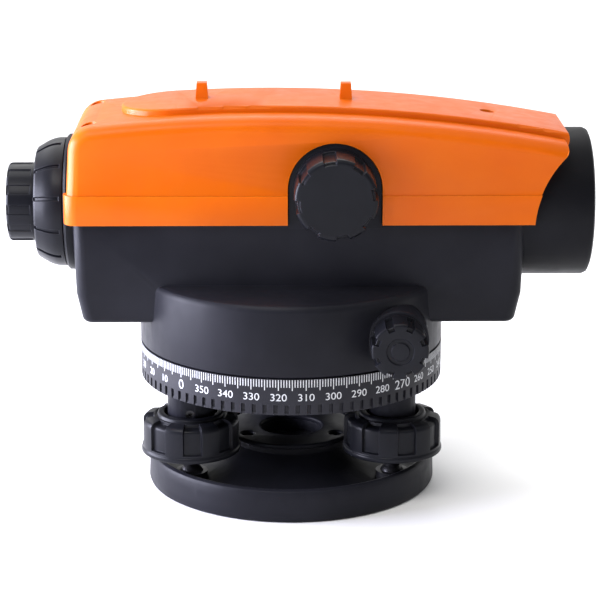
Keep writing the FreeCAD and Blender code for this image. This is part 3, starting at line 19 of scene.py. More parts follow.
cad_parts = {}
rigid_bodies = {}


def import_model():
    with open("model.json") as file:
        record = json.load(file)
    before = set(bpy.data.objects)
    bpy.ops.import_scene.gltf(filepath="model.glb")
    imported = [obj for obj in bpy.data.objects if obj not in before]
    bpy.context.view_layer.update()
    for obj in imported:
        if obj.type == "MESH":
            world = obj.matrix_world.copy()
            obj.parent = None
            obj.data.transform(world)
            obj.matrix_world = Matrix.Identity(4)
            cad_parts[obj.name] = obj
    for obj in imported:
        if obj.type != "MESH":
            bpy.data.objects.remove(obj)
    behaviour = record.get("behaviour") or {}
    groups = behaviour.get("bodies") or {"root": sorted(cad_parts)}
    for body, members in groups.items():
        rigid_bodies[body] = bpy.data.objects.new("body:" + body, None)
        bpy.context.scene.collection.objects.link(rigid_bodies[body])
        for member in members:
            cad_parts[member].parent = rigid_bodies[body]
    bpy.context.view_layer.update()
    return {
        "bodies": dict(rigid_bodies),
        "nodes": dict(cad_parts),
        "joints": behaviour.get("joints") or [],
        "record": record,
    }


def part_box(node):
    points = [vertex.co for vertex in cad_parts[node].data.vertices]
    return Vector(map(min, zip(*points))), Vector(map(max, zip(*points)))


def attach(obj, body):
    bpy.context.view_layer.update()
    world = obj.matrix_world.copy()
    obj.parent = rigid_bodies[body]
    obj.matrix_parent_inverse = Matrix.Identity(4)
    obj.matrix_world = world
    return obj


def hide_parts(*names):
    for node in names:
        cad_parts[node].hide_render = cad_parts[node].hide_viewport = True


LOG = logging.getLogger("automatic_level")
MM = 0.001
FULL_TURN = 2 * math.pi
EDGE_ANGLE = math.radians(30)
FLAT_ANGLE = math.radians(0.4)
MERGE = 0.002 * MM

Colour = tuple[float, float, float]


class Slot(str, Enum):
    """The record's material slots."""

    CASTING = "black_casting"
    CIRCLE = "circle_black"
    KNOB = "black_knob"
    COVER = "orange_plastic"
    BARREL = "black_barrel"
    STEEL = "steel"
    BLACK_SCREW = "black_screw"
    SPRING = "spring_steel"
    BRASS = "brass"
    ALUMINIUM = "aluminium"
    GLASS = "glass"
    LIQUID = "vial_liquid"
    VIAL = "vial_plastic"
    MIRROR = "mirror"


class Body(str, Enum):
    """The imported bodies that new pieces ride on."""

    BASE = "base"
    HEAD = "levelling_head"
    LEFT = "left_foot_screw"
    RIGHT = "right_foot_screw"
    REAR = "rear_foot_screw"
    CIRCLE = "circle"
    TELESCOPE = "telescope"
    TANGENT = "tangent_screw"
    FOCUS = "focus_drive"
    DIOPTRE = "dioptre"
    MIRROR = "mirror"


# ---------------------------------------------------------------- finishes
class Surface:
    """A material's node tree while it is wired up."""

    def __init__(self, name: str) -> None:
        """Starts a tree with its shader and output.

        Args:
            name: The material's name.
        """
        self.material = bpy.data.materials.new(name)
        self.material.use_nodes = True
        self.tree = self.material.node_tree
        self.tree.nodes.clear()
        self.shader = self.node("ShaderNodeBsdfPrincipled")
        output = self.node("ShaderNodeOutputMaterial")
        self.tree.links.new(self.shader.outputs["BSDF"], output.inputs["Surface"])
        self.places = self.node("ShaderNodeTexCoord").outputs["Object"]

    def node(self, kind: str, values: dict | None = None, **settings: object) -> bpy.types.Node:
        """Adds a node.

        Args:
            kind: The node's class name.
            values: Input sockets by name or number, with a constant or an output to link.
            settings: The node's own properties.
        Returns:
            The node.
        """
        made = self.tree.nodes.new(kind)
        for key, value in settings.items():
            setattr(made, key, value)
        for key, value in (values or {}).items():
            if isinstance(value, bpy.types.NodeSocket):
                self.tree.links.new(value, made.inputs[key])
            else:
                made.inputs[key].default_value = value
        return made

    def constant(self, **values: object) -> None:
        """Sets the shader's own sockets, with underscores for the spaces of their names."""
        for key, value in values.items():
            self.shader.inputs[key.replace("_", " ")].default_value = value

    def feed(self, socket: str, source: bpy.types.NodeSocket) -> None:
        """Links an output to one of the shader's sockets."""
        self.tree.links.new(source, self.shader.inputs[socket])

    def noise(self, size: float, detail: float = 3.0, stretch: Colour = (1, 1, 1)) -> bpy.types.NodeSocket:
        """Cloudy pattern.

        Args:
            size: How large its patches are, in metres.
            detail: Octaves of finer patches.
            stretch: How much it is pressed together along X, Y and Z.
        Returns:
            The pattern's value, from 0 to 1.
        """
        mapped = self.node("ShaderNodeMapping", {"Vector": self.places, "Scale": stretch})
        values = {"Vector": mapped.outputs[0], "Scale": 1 / size, "Detail": detail, "Roughness": 0.55}
        return self.node("ShaderNodeTexNoise", values).outputs[0]

    def spread(self, source: bpy.types.NodeSocket, span: Sequence[float],
               to: Sequence[float]) -> bpy.types.NodeSocket:
        """Maps one span of a value onto another, and holds it there."""
        values = {"Value": source, "From Min": span[0], "From Max": span[1], "To Min": to[0], "To Max": to[1]}
        return self.node("ShaderNodeMapRange", values).outputs[0]

    def mix(self, share: bpy.types.NodeSocket, low: object, high: object) -> bpy.types.NodeSocket:
        """Colour between two others.

        Args:
            share: How much of the second there is, from 0 to 1.
            low: The first, as a colour or an output.
            high: The second, as a colour or an output.
        Returns:
            The mixed colour.
        """
        made = self.node("ShaderNodeMix", data_type="RGBA")
        self.tree.links.new(share, made.inputs[0])
        for socket, value in ((made.inputs[6], low), (made.inputs[7], high)):
            if isinstance(value, bpy.types.NodeSocket):
                self.tree.links.new(value, socket)
            else:
                socket.default_value = (*value, 1)
        return made.outputs[2]

    def product(self, one: bpy.types.NodeSocket, other: bpy.types.NodeSocket) -> bpy.types.NodeSocket:
        """One value times another."""
        return self.node("ShaderNodeMath", {0: one, 1: other}, operation="MULTIPLY").outputs[0]

    def edges(self, width: float) -> bpy.types.NodeSocket:
        """Value that is 1 along edges and 0 on flat stretches.

        Args:
            width: How far from an edge it reaches, in metres.
        Returns:
            The value.
        """
        eased = self.node("ShaderNodeBevel", {"Radius": width}, samples=4).outputs[0]
        true = self.node("ShaderNodeNewGeometry").outputs["Normal"]
        match = self.node("ShaderNodeVectorMath", {0: eased, 1: true}, operation="DOT_PRODUCT")
        return self.spread(match.outputs["Value"], (0.995, 0.86), (0.0, 1.0))

    def relief(self, height: bpy.types.NodeSocket, depth: float) -> None:
        """Gives the shader a bump of that depth in metres."""
        bump = self.node("ShaderNodeBump", {"Height": height, "Distance": depth, "Strength": 1.0})
        self.feed("Normal", bump.outputs[0])


@dataclass(frozen=True)
class Coated:
    """Paint or moulded plastic: its colour drifts, its grain is fine and its edges are lighter, partly from
    wear and partly as a painted highlight.

    Attributes:
        colour: The colour of most of it.
        drift: The colour of its paler clouds.
        rubbed: The colour mixed in along its edges, partly wear and partly a painted highlight.
        gloss: Lowest and highest roughness.
        grain: Size of the grain in metres.
        depth: Height of the grain in metres.
        coat: Strength of a clear coat.
        wear: How much of an edge takes that colour, partly wear and partly a painted highlight.
        glow: Share of light that scatters inside it.
        shine: How strongly its surface mirrors, where 0.5 is the usual plastic.
    """

    colour: Colour
    drift: Colour
    rubbed: Colour
    gloss: tuple[float, float]
    grain: float
    depth: float
    coat: float = 0.0
    wear: float = 0.35
    glow: float = 0.0
    shine: float = 0.25

    def build(self, name: str) -> bpy.types.Material:
        """Makes the material.

        Args:
            name: The material's name.
        Returns:
            The material.
        """
        surface = Surface(name)
        clouds = surface.noise(26 * MM, 4.0)
        base = surface.mix(surface.spread(clouds, (0.35, 0.68), (0, 1)), self.colour, self.drift)
        # Edges take a lighter colour: partly real wear, partly a painted highlight where light would catch
        # them.
        scuffs_and_highlight = surface.spread(surface.noise(2.2 * MM), (0.3, 0.65), (0.15, self.wear))
        mixed_with = surface.product(surface.edges(0.5 * MM), scuffs_and_highlight)
        surface.feed("Base Color", surface.mix(mixed_with, base, self.rubbed))
        surface.feed("Roughness", surface.spread(surface.noise(5 * MM, 5.0), (0.3, 0.7), self.gloss))
        fine = surface.noise(self.grain, 2.0)
        surface.relief(fine, self.depth)
        surface.constant(Coat_Weight=self.coat, Coat_Roughness=0.22, Specular_IOR_Level=self.shine)
        if self.glow:
            surface.constant(Subsurface_Weight=self.glow, Subsurface_Radius=(1.0, 0.32, 0.06),
                             Subsurface_Scale=2.2 * MM)
        return surface.material


@dataclass(frozen=True)
class Machined:
    """Bare or blackened metal with fine cutting marks.

    Attributes:
        colour: The metal's colour.
        dull: Its colour where it is dull.
        gloss: Lowest and highest roughness.
        lay: How the cutting marks are pressed together along X, Y and Z.
        metallic: 1 for bare metal.
    """

    colour: Colour
    dull: Colour
    gloss: tuple[float, float]
    lay: Colour = (1.0, 1.0, 14.0)
    metallic: float = 1.0

    def build(self, name: str) -> bpy.types.Material:
        """Makes the material.

        Args:
            name: The material's name.
        Returns:
            The material.
        """
        surface = Surface(name)
        marks = surface.noise(2.5 * MM, 4.0, self.lay)
        clouds = surface.noise(9 * MM, 3.0)
        patchy = surface.spread(clouds, (0.3, 0.7), (0, 1))
        surface.feed("Base Color", surface.mix(patchy, self.colour, self.dull))
        surface.feed("Roughness", surface.spread(marks, (0.3, 0.7), self.gloss))
        surface.relief(marks, 0.012 * MM)
        surface.constant(Metallic=self.metallic)
        return surface.material


@dataclass(frozen=True)
class Clear:
    """Glass or liquid.

    Attributes:
        tint: Its colour.
        index: Its refractive index.
        film: Thickness of its anti-reflection coating in nanometres.
        smear: Highest roughness.
    """

    tint: Colour
    index: float
    film: float = 0.0
    smear: float = 0.03

    def build(self, name: str) -> bpy.types.Material:
        """Makes the material.

        Args:
            name: The material's name.
        Returns:
            The material.
        """
        surface = Surface(name)
        dust = surface.noise(3 * MM, 6.0)
        surface.feed("Roughness", surface.spread(dust, (0.45, 0.8), (0.0, self.smear)))
        paler = tuple(min(1.0, part * 1.04) for part in self.tint)
        surface.feed("Base Color", surface.mix(dust, self.tint, paler))
        surface.constant(Transmission_Weight=1.0, IOR=self.index, Thin_Film_Thickness=self.film,
                         Thin_Film_IOR=1.38)
        return surface.material


@dataclass(frozen=True)
class Silvered:
    """Mirror glass with a little dust."""

    colour: Colour = (0.86, 0.88, 0.9)

    def build(self, name: str) -> bpy.types.Material:
        """Makes the material.

        Args:
            name: The material's name.
        Returns:
            The material.
        """
        surface = Surface(name)
        dust = surface.noise(2 * MM, 6.0)
        surface.feed("Roughness", surface.spread(dust, (0.5, 0.85), (0.015, 0.12)))
        hazy = tuple(part * 0.9 for part in self.colour)
        surface.feed("Base Color", surface.mix(surface.spread(dust, (0.4, 0.8), (0, 1)), self.colour, hazy))
        surface.constant(Metallic=1.0)
        return surface.material


@dataclass(frozen=True)
class Printed:
    """Filled paint of lines and numbers, a little patchy."""

    colour: Colour = (0.56, 0.57, 0.59)

    def build(self, name: str) -> bpy.types.Material:
        """Makes the material.

        Args:
            name: The material's name.
        Returns:
            The material.
        """
        surface = Surface(name)
        patches = surface.noise(0.8 * MM, 4.0)
        mixed_with = tuple(part * 0.62 for part in self.colour)
        rubbed = surface.spread(patches, (0.55, 0.8), (0, 1))
        surface.feed("Base Color", surface.mix(rubbed, self.colour, mixed_with))
        surface.feed("Roughness", surface.spread(patches, (0.3, 0.7), (0.45, 0.65)))
        return surface.material


# Each coated finish's third colour is its edge colour: partly wear, partly a painted highlight.
FINISHES = {
    Slot.CASTING: Coated((0.0090, 0.0092, 0.0125), (0.0125, 0.0127, 0.0172), (0.042, 0.042, 0.054),
                         (0.36, 0.47), 0.45 * MM, 0.010 * MM, shine=0.10),
    Slot.CIRCLE: Coated((0.0140, 0.0140, 0.0180), (0.0180, 0.0180, 0.0235), (0.050, 0.050, 0.062),
                        (0.38, 0.50), 0.30 * MM, 0.006 * MM, shine=0.16),
    Slot.KNOB: Coated((0.0062, 0.0065, 0.0088), (0.0090, 0.0094, 0.0125), (0.034, 0.034, 0.044),
                      (0.28, 0.38), 0.35 * MM, 0.006 * MM, shine=0.12),
    Slot.COVER: Coated((0.590, 0.097, 0.0004), (0.622, 0.113, 0.0008), (0.78, 0.24, 0.01),
                       (0.30, 0.42), 0.30 * MM, 0.005 * MM, wear=0.5, shine=0.17),
    Slot.VIAL: Coated((0.0090, 0.0090, 0.0115), (0.0125, 0.0125, 0.0155), (0.045, 0.045, 0.052),
                      (0.34, 0.46), 0.30 * MM, 0.006 * MM),
    Slot.BARREL: Coated((0.0052, 0.0053, 0.0070), (0.0078, 0.0080, 0.0103), (0.034, 0.034, 0.043),
                        (0.36, 0.46), 0.25 * MM, 0.004 * MM, shine=0.08),
    Slot.BLACK_SCREW: Machined((0.030, 0.030, 0.034), (0.045, 0.043, 0.045), (0.32, 0.48), metallic=0.6),
    Slot.STEEL: Machined((0.56, 0.56, 0.58), (0.44, 0.44, 0.46), (0.22, 0.36)),
    Slot.SPRING: Machined((0.36, 0.36, 0.38), (0.27, 0.26, 0.27), (0.28, 0.40), lay=(1.0, 1.0, 1.0)),
    Slot.BRASS: Machined((0.74, 0.52, 0.22), (0.60, 0.40, 0.17), (0.24, 0.38)),
    Slot.ALUMINIUM: Machined((0.72, 0.72, 0.74), (0.60, 0.60, 0.62), (0.28, 0.42), lay=(10.0, 1.0, 1.0)),
    Slot.GLASS: Clear((0.93, 0.97, 0.98), 1.52, film=240.0),
    Slot.LIQUID: Clear((0.72, 0.90, 0.30), 1.36, smear=0.0),
    Slot.MIRROR: Silvered(),
}


# ---------------------------------------------------------------- shaping
class Station(NamedTuple):
    """One corner of a turned outline: its place along the axis, its radius and how far it is rounded."""

    along: float
    radius: float
    corner: float = 0.0


@dataclass(frozen=True)
class Lathe:
    """An axis that outlines are turned about."""

    centre: Vector
    along: Vector

    @property
    def across(self) -> Vector:
        """The direction in which radii are drawn, which is also angle zero."""
        return Vector((1, 0, 0)) if abs(self.along.z) > 0.5 else Vector((0, 0, 1))

    def turned(self, outline: Sequence[Station], steps: int) -> bmesh.types.BMesh:
        """Turns a closed outline into a solid ring, or a solid with poles where it meets the axis.

        Args:
            outline: Its corners in order.
            steps: Facets round the axis.
        Returns:
            The mesh, with its faces outwards.
        """
        shape = bmesh.new()
        corners = [shape.verts.new(self.centre + self.along * s.along + self.across * s.radius)
                   for s in outline]
        for i, start in enumerate(corners):
            if outline[i].radius > 0 or outline[(i + 1) % len(outline)].radius > 0:
                shape.edges.new((start, corners[(i + 1) % len(corners)]))
        for size in sorted({s.corner for s in outline if s.corner}):
            chosen = [v for v, s in zip(corners, outline) if s.corner == size]
            bmesh.ops.bevel(shape, geom=chosen, offset=size, offset_type="OFFSET", segments=5, profile=0.5,
                            affect="VERTICES", material=-1)
        bmesh.ops.spin(shape, geom=shape.verts[:] + shape.edges[:], cent=self.centre, axis=self.along,
                       angle=FULL_TURN, steps=steps, use_merge=True)
        bmesh.ops.remove_doubles(shape, verts=shape.verts, dist=MERGE / 10)
        bmesh.ops.recalc_face_normals(shape, faces=shape.faces)
        return shape

    def station(self, point: Vector) -> float:
        """How far along the axis a point is."""
        return (point - self.centre).dot(self.along)

    def radius(self, point: Vector) -> float:
        """How far from the axis a point is."""
        return (point - self.centre - self.along * self.station(point)).length

    def angle(self, point: Vector) -> float:
        """A point's angle about the axis, in degrees."""
        arm = point - self.centre
        return math.degrees(math.atan2(arm.dot(self.along.cross(self.across)), arm.dot(self.across)))

    def off_centre(self, point: Vector, count: int, start: float) -> float:
        """Degrees between a point and the nearest of some evenly spaced directions."""
        pitch = 360.0 / count
        return abs((self.angle(point) - start + pitch / 2) % pitch - pitch / 2)


def sink(shape: bmesh.types.BMesh, chosen: Callable[[Vector], bool], rim: float, depth: float) -> None:
    """Presses patches of faces in.

    Args:
        shape: The mesh to change.
        chosen: Says whether a face with this middle belongs to a patch.
        rim: Width of the sloping side of a patch, in metres.
        depth: How far a patch is pressed in, in metres; below zero raises it.
    """
    faces = [face for face in shape.faces if chosen(face.calc_center_median())]
    bmesh.ops.inset_region(shape, faces=faces, thickness=rim, depth=-depth, use_even_offset=True,
                           use_boundary=True)


def as_piece(shape: bmesh.types.BMesh, name: str, ease: float = 0.0) -> bpy.types.Object:
    """Makes an object of a mesh and frees the mesh.

    Args:
        shape: The finished mesh.
        name: The piece's name.
        ease: Width of the rounding of its sharp edges, in metres.
    Returns:
        The object, at the origin.
    """
    data = bpy.data.meshes.new(name)
    shape.to_mesh(data)
    shape.free()
    data.shade_smooth()
    piece = bpy.data.objects.new(name, data)
    bpy.context.scene.collection.objects.link(piece)
    if ease:
        rounding = piece.modifiers.new("eased_edges", "BEVEL")
        rounding.width = ease
        rounding.segments = 3
        rounding.limit_method = "ANGLE"
        rounding.angle_limit = EDGE_ANGLE
        rounding.use_clamp_overlap = True
        rounding.harden_normals = True
    else:
        data.set_sharp_from_angle(angle=EDGE_ANGLE)
    return piece


class Bench:
    """Where pieces are dressed and fixed: it holds the frame and one material for each slot."""

    def __init__(self, frame: dict) -> None:
        """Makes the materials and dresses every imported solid.

        Args:
            frame: What the frame holds: its nodes and its record.
        """
        self.nodes = frame["nodes"]
        self.materials = {slot: finish.build(slot.value) for slot, finish in FINISHES.items()}
        self.slots = {entry["node"]: Slot(entry["material_slot"]) for entry in frame["record"]["subparts"]}
        for name, solid in self.nodes.items():
            solid.data.materials.clear()
            solid.data.materials.append(self.materials[self.slots[name]])

    def fix(self, piece: bpy.types.Object, body: Body, slot: Slot, *stands_for: str) -> bpy.types.Object:
        """Dresses a piece, sets it on its body and hides the solids that it stands for.

        Args:
            piece: The finished piece, at the origin.
            body: What it rides on.
            slot: Its material slot.
            stands_for: Names of the solids that it takes the place of.
        Returns:
            The piece.
        """
        piece.data.materials.clear()
        piece.data.materials.append(self.materials[slot])
        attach(piece, body.value)
        if stands_for:
            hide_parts(*stands_for)
        LOG.info("%s rides on %s", piece.name, body.value)
        return piece

    def skin(self, node: str, body: Body, ease: float) -> bpy.types.Object:
        """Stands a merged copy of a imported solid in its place, with its flats joined up and edges eased.

        Args:
            node: The solid's name.
            body: What it rides on.
            ease: Width of the rounding of its edges, in metres.
        Returns:
            The copy.
        """
        shape = bmesh.new()
        shape.from_mesh(self.nodes[node].data)
        bmesh.ops.remove_doubles(shape, verts=shape.verts, dist=MERGE)
        bmesh.ops.dissolve_limit(shape, angle_limit=FLAT_ANGLE, use_dissolve_boundaries=False,
                                 verts=shape.verts, edges=shape.edges, delimit=set())
        piece = as_piece(shape, node + "_skin", ease)
        return self.fix(piece, body, self.slots[node], node)


# ---------------------------------------------------------------- base and levelling head
@dataclass
class Base:
    """Base plate with the hub's flange over the tripod thread."""

    plate_ease: float = 0.35 * MM
    flange_ease: float = 0.20 * MM

    def build(self, bench: Bench) -> None:
        """Makes the skins of the plate and its flange.

        Args:
            bench: Where the pieces are dressed and fixed.
        """
        bench.skin("base_plate", Body.BASE, self.plate_ease)
        bench.skin("hub_flange", Body.BASE, self.flange_ease)
        bench.skin("tripod_bush", Body.BASE, self.flange_ease)


@dataclass
class FootKnob:
    """Cap-shaped knob of one foot screw, with lobes that run over its shoulder.

    Attributes:
        side: Which foot screw it belongs to.
        turned_by: Degrees from +X to a notch.
    """

    side: str
    turned_by: float
    lobes: int = 8
    wall_radius: float = 16.8 * MM
    flange_radius: float = 17.2 * MM
    collar_radius: float = 11.4 * MM
    well_radius: float = 9.2 * MM
    bore_radius: float = 3.5 * MM
    web: float = 3.5 * MM
    notch_depth: float = 1.1 * MM
    notch_rim: float = 0.30 * MM
    notch_low: float = 3.5 * MM
    ease: float = 0.22 * MM
    facets: int = 192

    def build(self, bench: Bench) -> None:
        """Turns the knob, presses its notches in and sets it on its screw.

        Args:
            bench: Where the pieces are dressed and fixed.
        """
        node = self.side + "_foot_knob"
        low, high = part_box(node)
        top = high.z - low.z
        lathe = Lathe(Vector(((low.x + high.x) / 2, (low.y + high.y) / 2, low.z)), Vector((0, 0, 1)))
        wall, collar = self.wall_radius, self.collar_radius
        brow = top - 1.0 * MM
        outline = [
            Station(0, self.bore_radius), Station(0, wall - 3.0 * MM, 0.4 * MM),
            Station(0.9 * MM, self.flange_radius, 0.5 * MM), Station(2.3 * MM, self.flange_radius, 0.4 * MM),
            Station(2.8 * MM, wall, 0.2 * MM), Station(self.notch_low, wall),
            Station(top - 1.7 * MM, wall, 1.9 * MM),
            Station(brow, collar + 1.2 * MM, 0.3 * MM), Station(brow - 0.3 * MM, collar + 0.3 * MM, 0.1 * MM),
            Station(top, collar - 0.1 * MM, 0.5 * MM), Station(top, self.well_radius, 0.5 * MM),
            Station(self.web, self.well_radius), Station(self.web, self.bore_radius)]
        shape = lathe.turned(outline, self.facets)
        half = 90.0 / self.lobes

        def in_notch(point: Vector) -> bool:
            """Tells whether a face belongs to a notch."""
            on_side = lathe.station(point) > self.notch_low and lathe.radius(point) > collar + 1.6 * MM
            return on_side and lathe.off_centre(point, self.lobes, self.turned_by) < half
        sink(shape, in_notch, self.notch_rim, self.notch_depth)
        piece = as_piece(shape, self.side + "_lobed_knob", self.ease)
        bench.fix(piece, Body[self.side.upper()], Slot.KNOB, node)


@dataclass
class LevellingHead:
    """Tribrach casting and the three foot screws under it.

    Attributes:
        ease: Width of the rounding of the casting's edges.
        knobs: Each foot screw's side, and the degrees from +X to a notch of its knob.
    """

    ease: float = 0.3 * MM
    knobs: tuple[tuple[str, float], ...] = (("left", 4.4), ("right", 14.8), ("rear", 22.5))

    def build(self, bench: Bench) -> None:
        """Makes the casting's skin and the knobs.

        Args:
            bench: Where the pieces are dressed and fixed.
        """
        bench.skin("levelling_head", Body.HEAD, self.ease)
        for side, turned_by in self.knobs:
            FootKnob(side, turned_by).build(bench)


# ---------------------------------------------------------------- degree circle
@dataclass
class DegreeCircle:
    """Horizontal circle: a turned band with grip slots, degree lines and a number every ten degrees."""

    wall: float = 3.4 * MM
    web_low: float = 6.2 * MM
    web_thickness: float = 2.0 * MM
    spigot_radius: float = 38.25 * MM
    slots: int = 90
    facets_per_slot: int = 10
    slot_height: float = 3.6 * MM
    slot_depth: float = 0.8 * MM
    slot_rim: float = 0.10 * MM
    slot_share: float = 0.4
    line_top: float = 0.15 * MM
    line_width: float = 0.30 * MM
    degree_line: float = 2.6 * MM
    five_line: float = 3.7 * MM
    paint: float = 0.03 * MM
    digit_height: float = 2.45 * MM
    quarter_digit_height: float = 3.2 * MM
    digits_below: float = 5.0 * MM
    digit_squeeze: float = 1.10
    zero_at: float = 225.0

    def band(self, bench: Bench, radius: float, low: float, top: float) -> None:
        """Turns the band and presses its grip slots in.

        Args:
            bench: Where the pieces are dressed and fixed.
            radius: The band's radius.
            low: Height of its lower edge.
            top: Height of its upper edge.
        """
        lathe = Lathe(Vector((0, 0, low)), Vector((0, 0, 1)))
        height = top - low
        inner = radius - self.wall
        web_top = self.web_low + self.web_thickness
        outline = [
            Station(0, inner, 0.3 * MM), Station(0, radius, 0.5 * MM), Station(self.slot_height, radius),
            Station(height, radius, 0.35 * MM), Station(height, inner, 0.2 * MM), Station(web_top, inner),
            Station(web_top, self.spigot_radius), Station(self.web_low, self.spigot_radius),
            Station(self.web_low, inner)]
        shape = lathe.turned(outline, self.slots * self.facets_per_slot)
        half = 360.0 / self.slots * self.slot_share / 2
        edge = 0.45 * MM

        def in_slot(point: Vector) -> bool:
            """Tells whether a face belongs to a grip slot."""
            on_side = lathe.station(point) < self.slot_height and lathe.radius(point) > radius - edge
            return on_side and lathe.off_centre(point, self.slots, 0.0) < half
        sink(shape, in_slot, self.slot_rim, self.slot_depth)
        bench.fix(as_piece(shape, "degree_band"), Body.CIRCLE, Slot.CIRCLE, "horizontal_circle")

    def lines(self, radius: float, top: float) -> bmesh.types.BMesh:
        """Raises one thin bar of paint for each degree, and longer ones every five degrees.

        Args:
            radius: The band's radius.
            top: Height of its upper edge.
        Returns:
            The bars' mesh.
        """
        shape = bmesh.new()
        for degree in range(360):
            length = self.five_line if degree % 5 == 0 else self.degree_line
            turn = Matrix.Rotation(math.radians(self.zero_at - degree), 4, "Z")
            place = Matrix.Translation((radius, 0, top - self.line_top - length / 2))
            size = Matrix.Diagonal((2 * self.paint, self.line_width, length, 1))
            bmesh.ops.create_cube(shape, size=1.0, matrix=turn @ place @ size)
        return shape

    def number(self, text: str, radius: float, top: float, degrees: float, tall: float) -> bmesh.types.BMesh:
        """Lays one number on the band.

        Args:
            text: The number.
            radius: The band's radius.
            top: Height of the top of the digits.
            degrees: Where its middle is, from +X.
            tall: Height of its digits.
        Returns:
            Its mesh, wrapped round the band.
        """
        curve = bpy.data.curves.new("number_" + text, "FONT")
        curve.body = text
        curve.align_x = "CENTER"
        curve.extrude = self.paint
        letters = bpy.data.objects.new(curve.name, curve)
        flat = bpy.data.meshes.new_from_object(letters)
        shape = bmesh.new()
        shape.from_mesh(flat)
        bpy.data.objects.remove(letters)
        bpy.data.curves.remove(curve)
        bpy.data.meshes.remove(flat)
        bmesh.ops.triangulate(shape, faces=shape.faces)
        height = max(v.co.y for v in shape.verts)
        scale = tall / height
        for vertex in shape.verts:
            across, up, out = vertex.co
            angle = math.radians(degrees) + across * scale * self.digit_squeeze / radius
            reach = radius + out
            vertex.co = (reach * math.cos(angle), reach * math.sin(angle), top + (up - height) * scale)
        return shape

    def build(self, bench: Bench) -> None:
        """Makes the band, its lines and its numbers.

        Args:
            bench: Where the pieces are dressed and fixed.
        """
        low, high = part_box("horizontal_circle")
        radius = high.x
        self.band(bench, radius, low.z, high.z)
        white = Printed().build("white_paint")
        numbers = bmesh.new()
        for label in range(0, 360, 10):
            tall = self.quarter_digit_height if label % 90 == 0 else self.digit_height
            lift = (tall - self.digit_height) / 2
            top = high.z - self.digits_below + lift
            one = self.number(str(label), radius, top, self.zero_at - label, tall)
            gathered = bpy.data.meshes.new("number")
            one.to_mesh(gathered)
            one.free()
            numbers.from_mesh(gathered)
            bpy.data.meshes.remove(gathered)
        for shape, name in ((self.lines(radius, high.z), "degree_lines"), (numbers, "degree_numbers")):
            piece = as_piece(shape, name)
            piece.data.materials.append(white)
            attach(piece, Body.CIRCLE.value)
            LOG.info("%s rides on %s", name, Body.CIRCLE.value)


# ---------------------------------------------------------------- telescope
@dataclass
class Telescope:
    """Housing with its drum, the top cover and the small castings on them."""

    housing_ease: float = 0.30 * MM
    cover_ease: float = 0.35 * MM
    small_ease: float = 0.15 * MM

    def build(self, bench: Bench) -> None:
        """Makes the skins.

        Args:
            bench: Where the pieces are dressed and fixed.
        """
        bench.skin("telescope_housing", Body.TELESCOPE, self.housing_ease)
        bench.skin("top_cover", Body.TELESCOPE, self.cover_ease)
        for node in ("vial_housing", "mirror_bracket", "eyepiece_tube"):
            bench.skin(node, Body.TELESCOPE, self.small_ease)
        bench.skin("mirror_frame", Body.MIRROR, self.small_ease)


@dataclass
class Objective:
    """Objective barrel with the ring that holds its lenses."""

    barrel_ease: float = 0.25 * MM
    ring_ease: float = 0.10 * MM

    def build(self, bench: Bench) -> None:
        """Makes the skins of the barrel and the ring."""
        bench.skin("objective_barrel", Body.TELESCOPE, self.barrel_ease)
        bench.skin("objective_retaining_ring", Body.TELESCOPE, self.ring_ease)


@dataclass
class FocusKnob:
    """Large focusing knob with eight shallow notches over its front edge."""

    notches: int = 8
    turned_by: float = -9.0
    front_radius: float = 13.9 * MM
    bore_radius: float = 3.0 * MM
    hollow: float = 3.0 * MM
    half_notch: float = 9.6
    notch_start: float = 3.0 * MM
    notch_depth: float = 0.9 * MM
    notch_rim: float = 0.25 * MM
    ease: float = 0.2 * MM
    facets: int = 192

    def build(self, bench: Bench) -> None:
        """Turns the knob and presses its notches in.

        Args:
            bench: Where the pieces are dressed and fixed.
        """
        low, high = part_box("focus_knob")
        middle = (low + high) / 2
        length = high.y - low.y
        rear = (high.x - low.x) / 2
        lathe = Lathe(Vector((middle.x, high.y, middle.z)), Vector((0, -1, 0)))
        face_radius = self.front_radius - 2.0 * MM
        outline = [
            Station(0, self.bore_radius), Station(0, rear, 0.7 * MM),
            Station(self.notch_start, rear - 0.15 * MM),
            Station(length, self.front_radius, 1.5 * MM), Station(length, face_radius), Station(length, 0),
            Station(length - self.hollow, 0), Station(length - self.hollow, self.bore_radius)]
        shape = lathe.turned(outline, self.facets)

        def in_notch(point: Vector) -> bool:
            """Tells whether a face belongs to a notch."""
            on_side = lathe.station(point) > self.notch_start and lathe.radius(point) > face_radius
            return on_side and lathe.off_centre(point, self.notches, -self.turned_by) < self.half_notch
        sink(shape, in_notch, self.notch_rim, self.notch_depth)
        bench.fix(as_piece(shape, "notched_focus_knob", self.ease), Body.FOCUS, Slot.KNOB, "focus_knob")


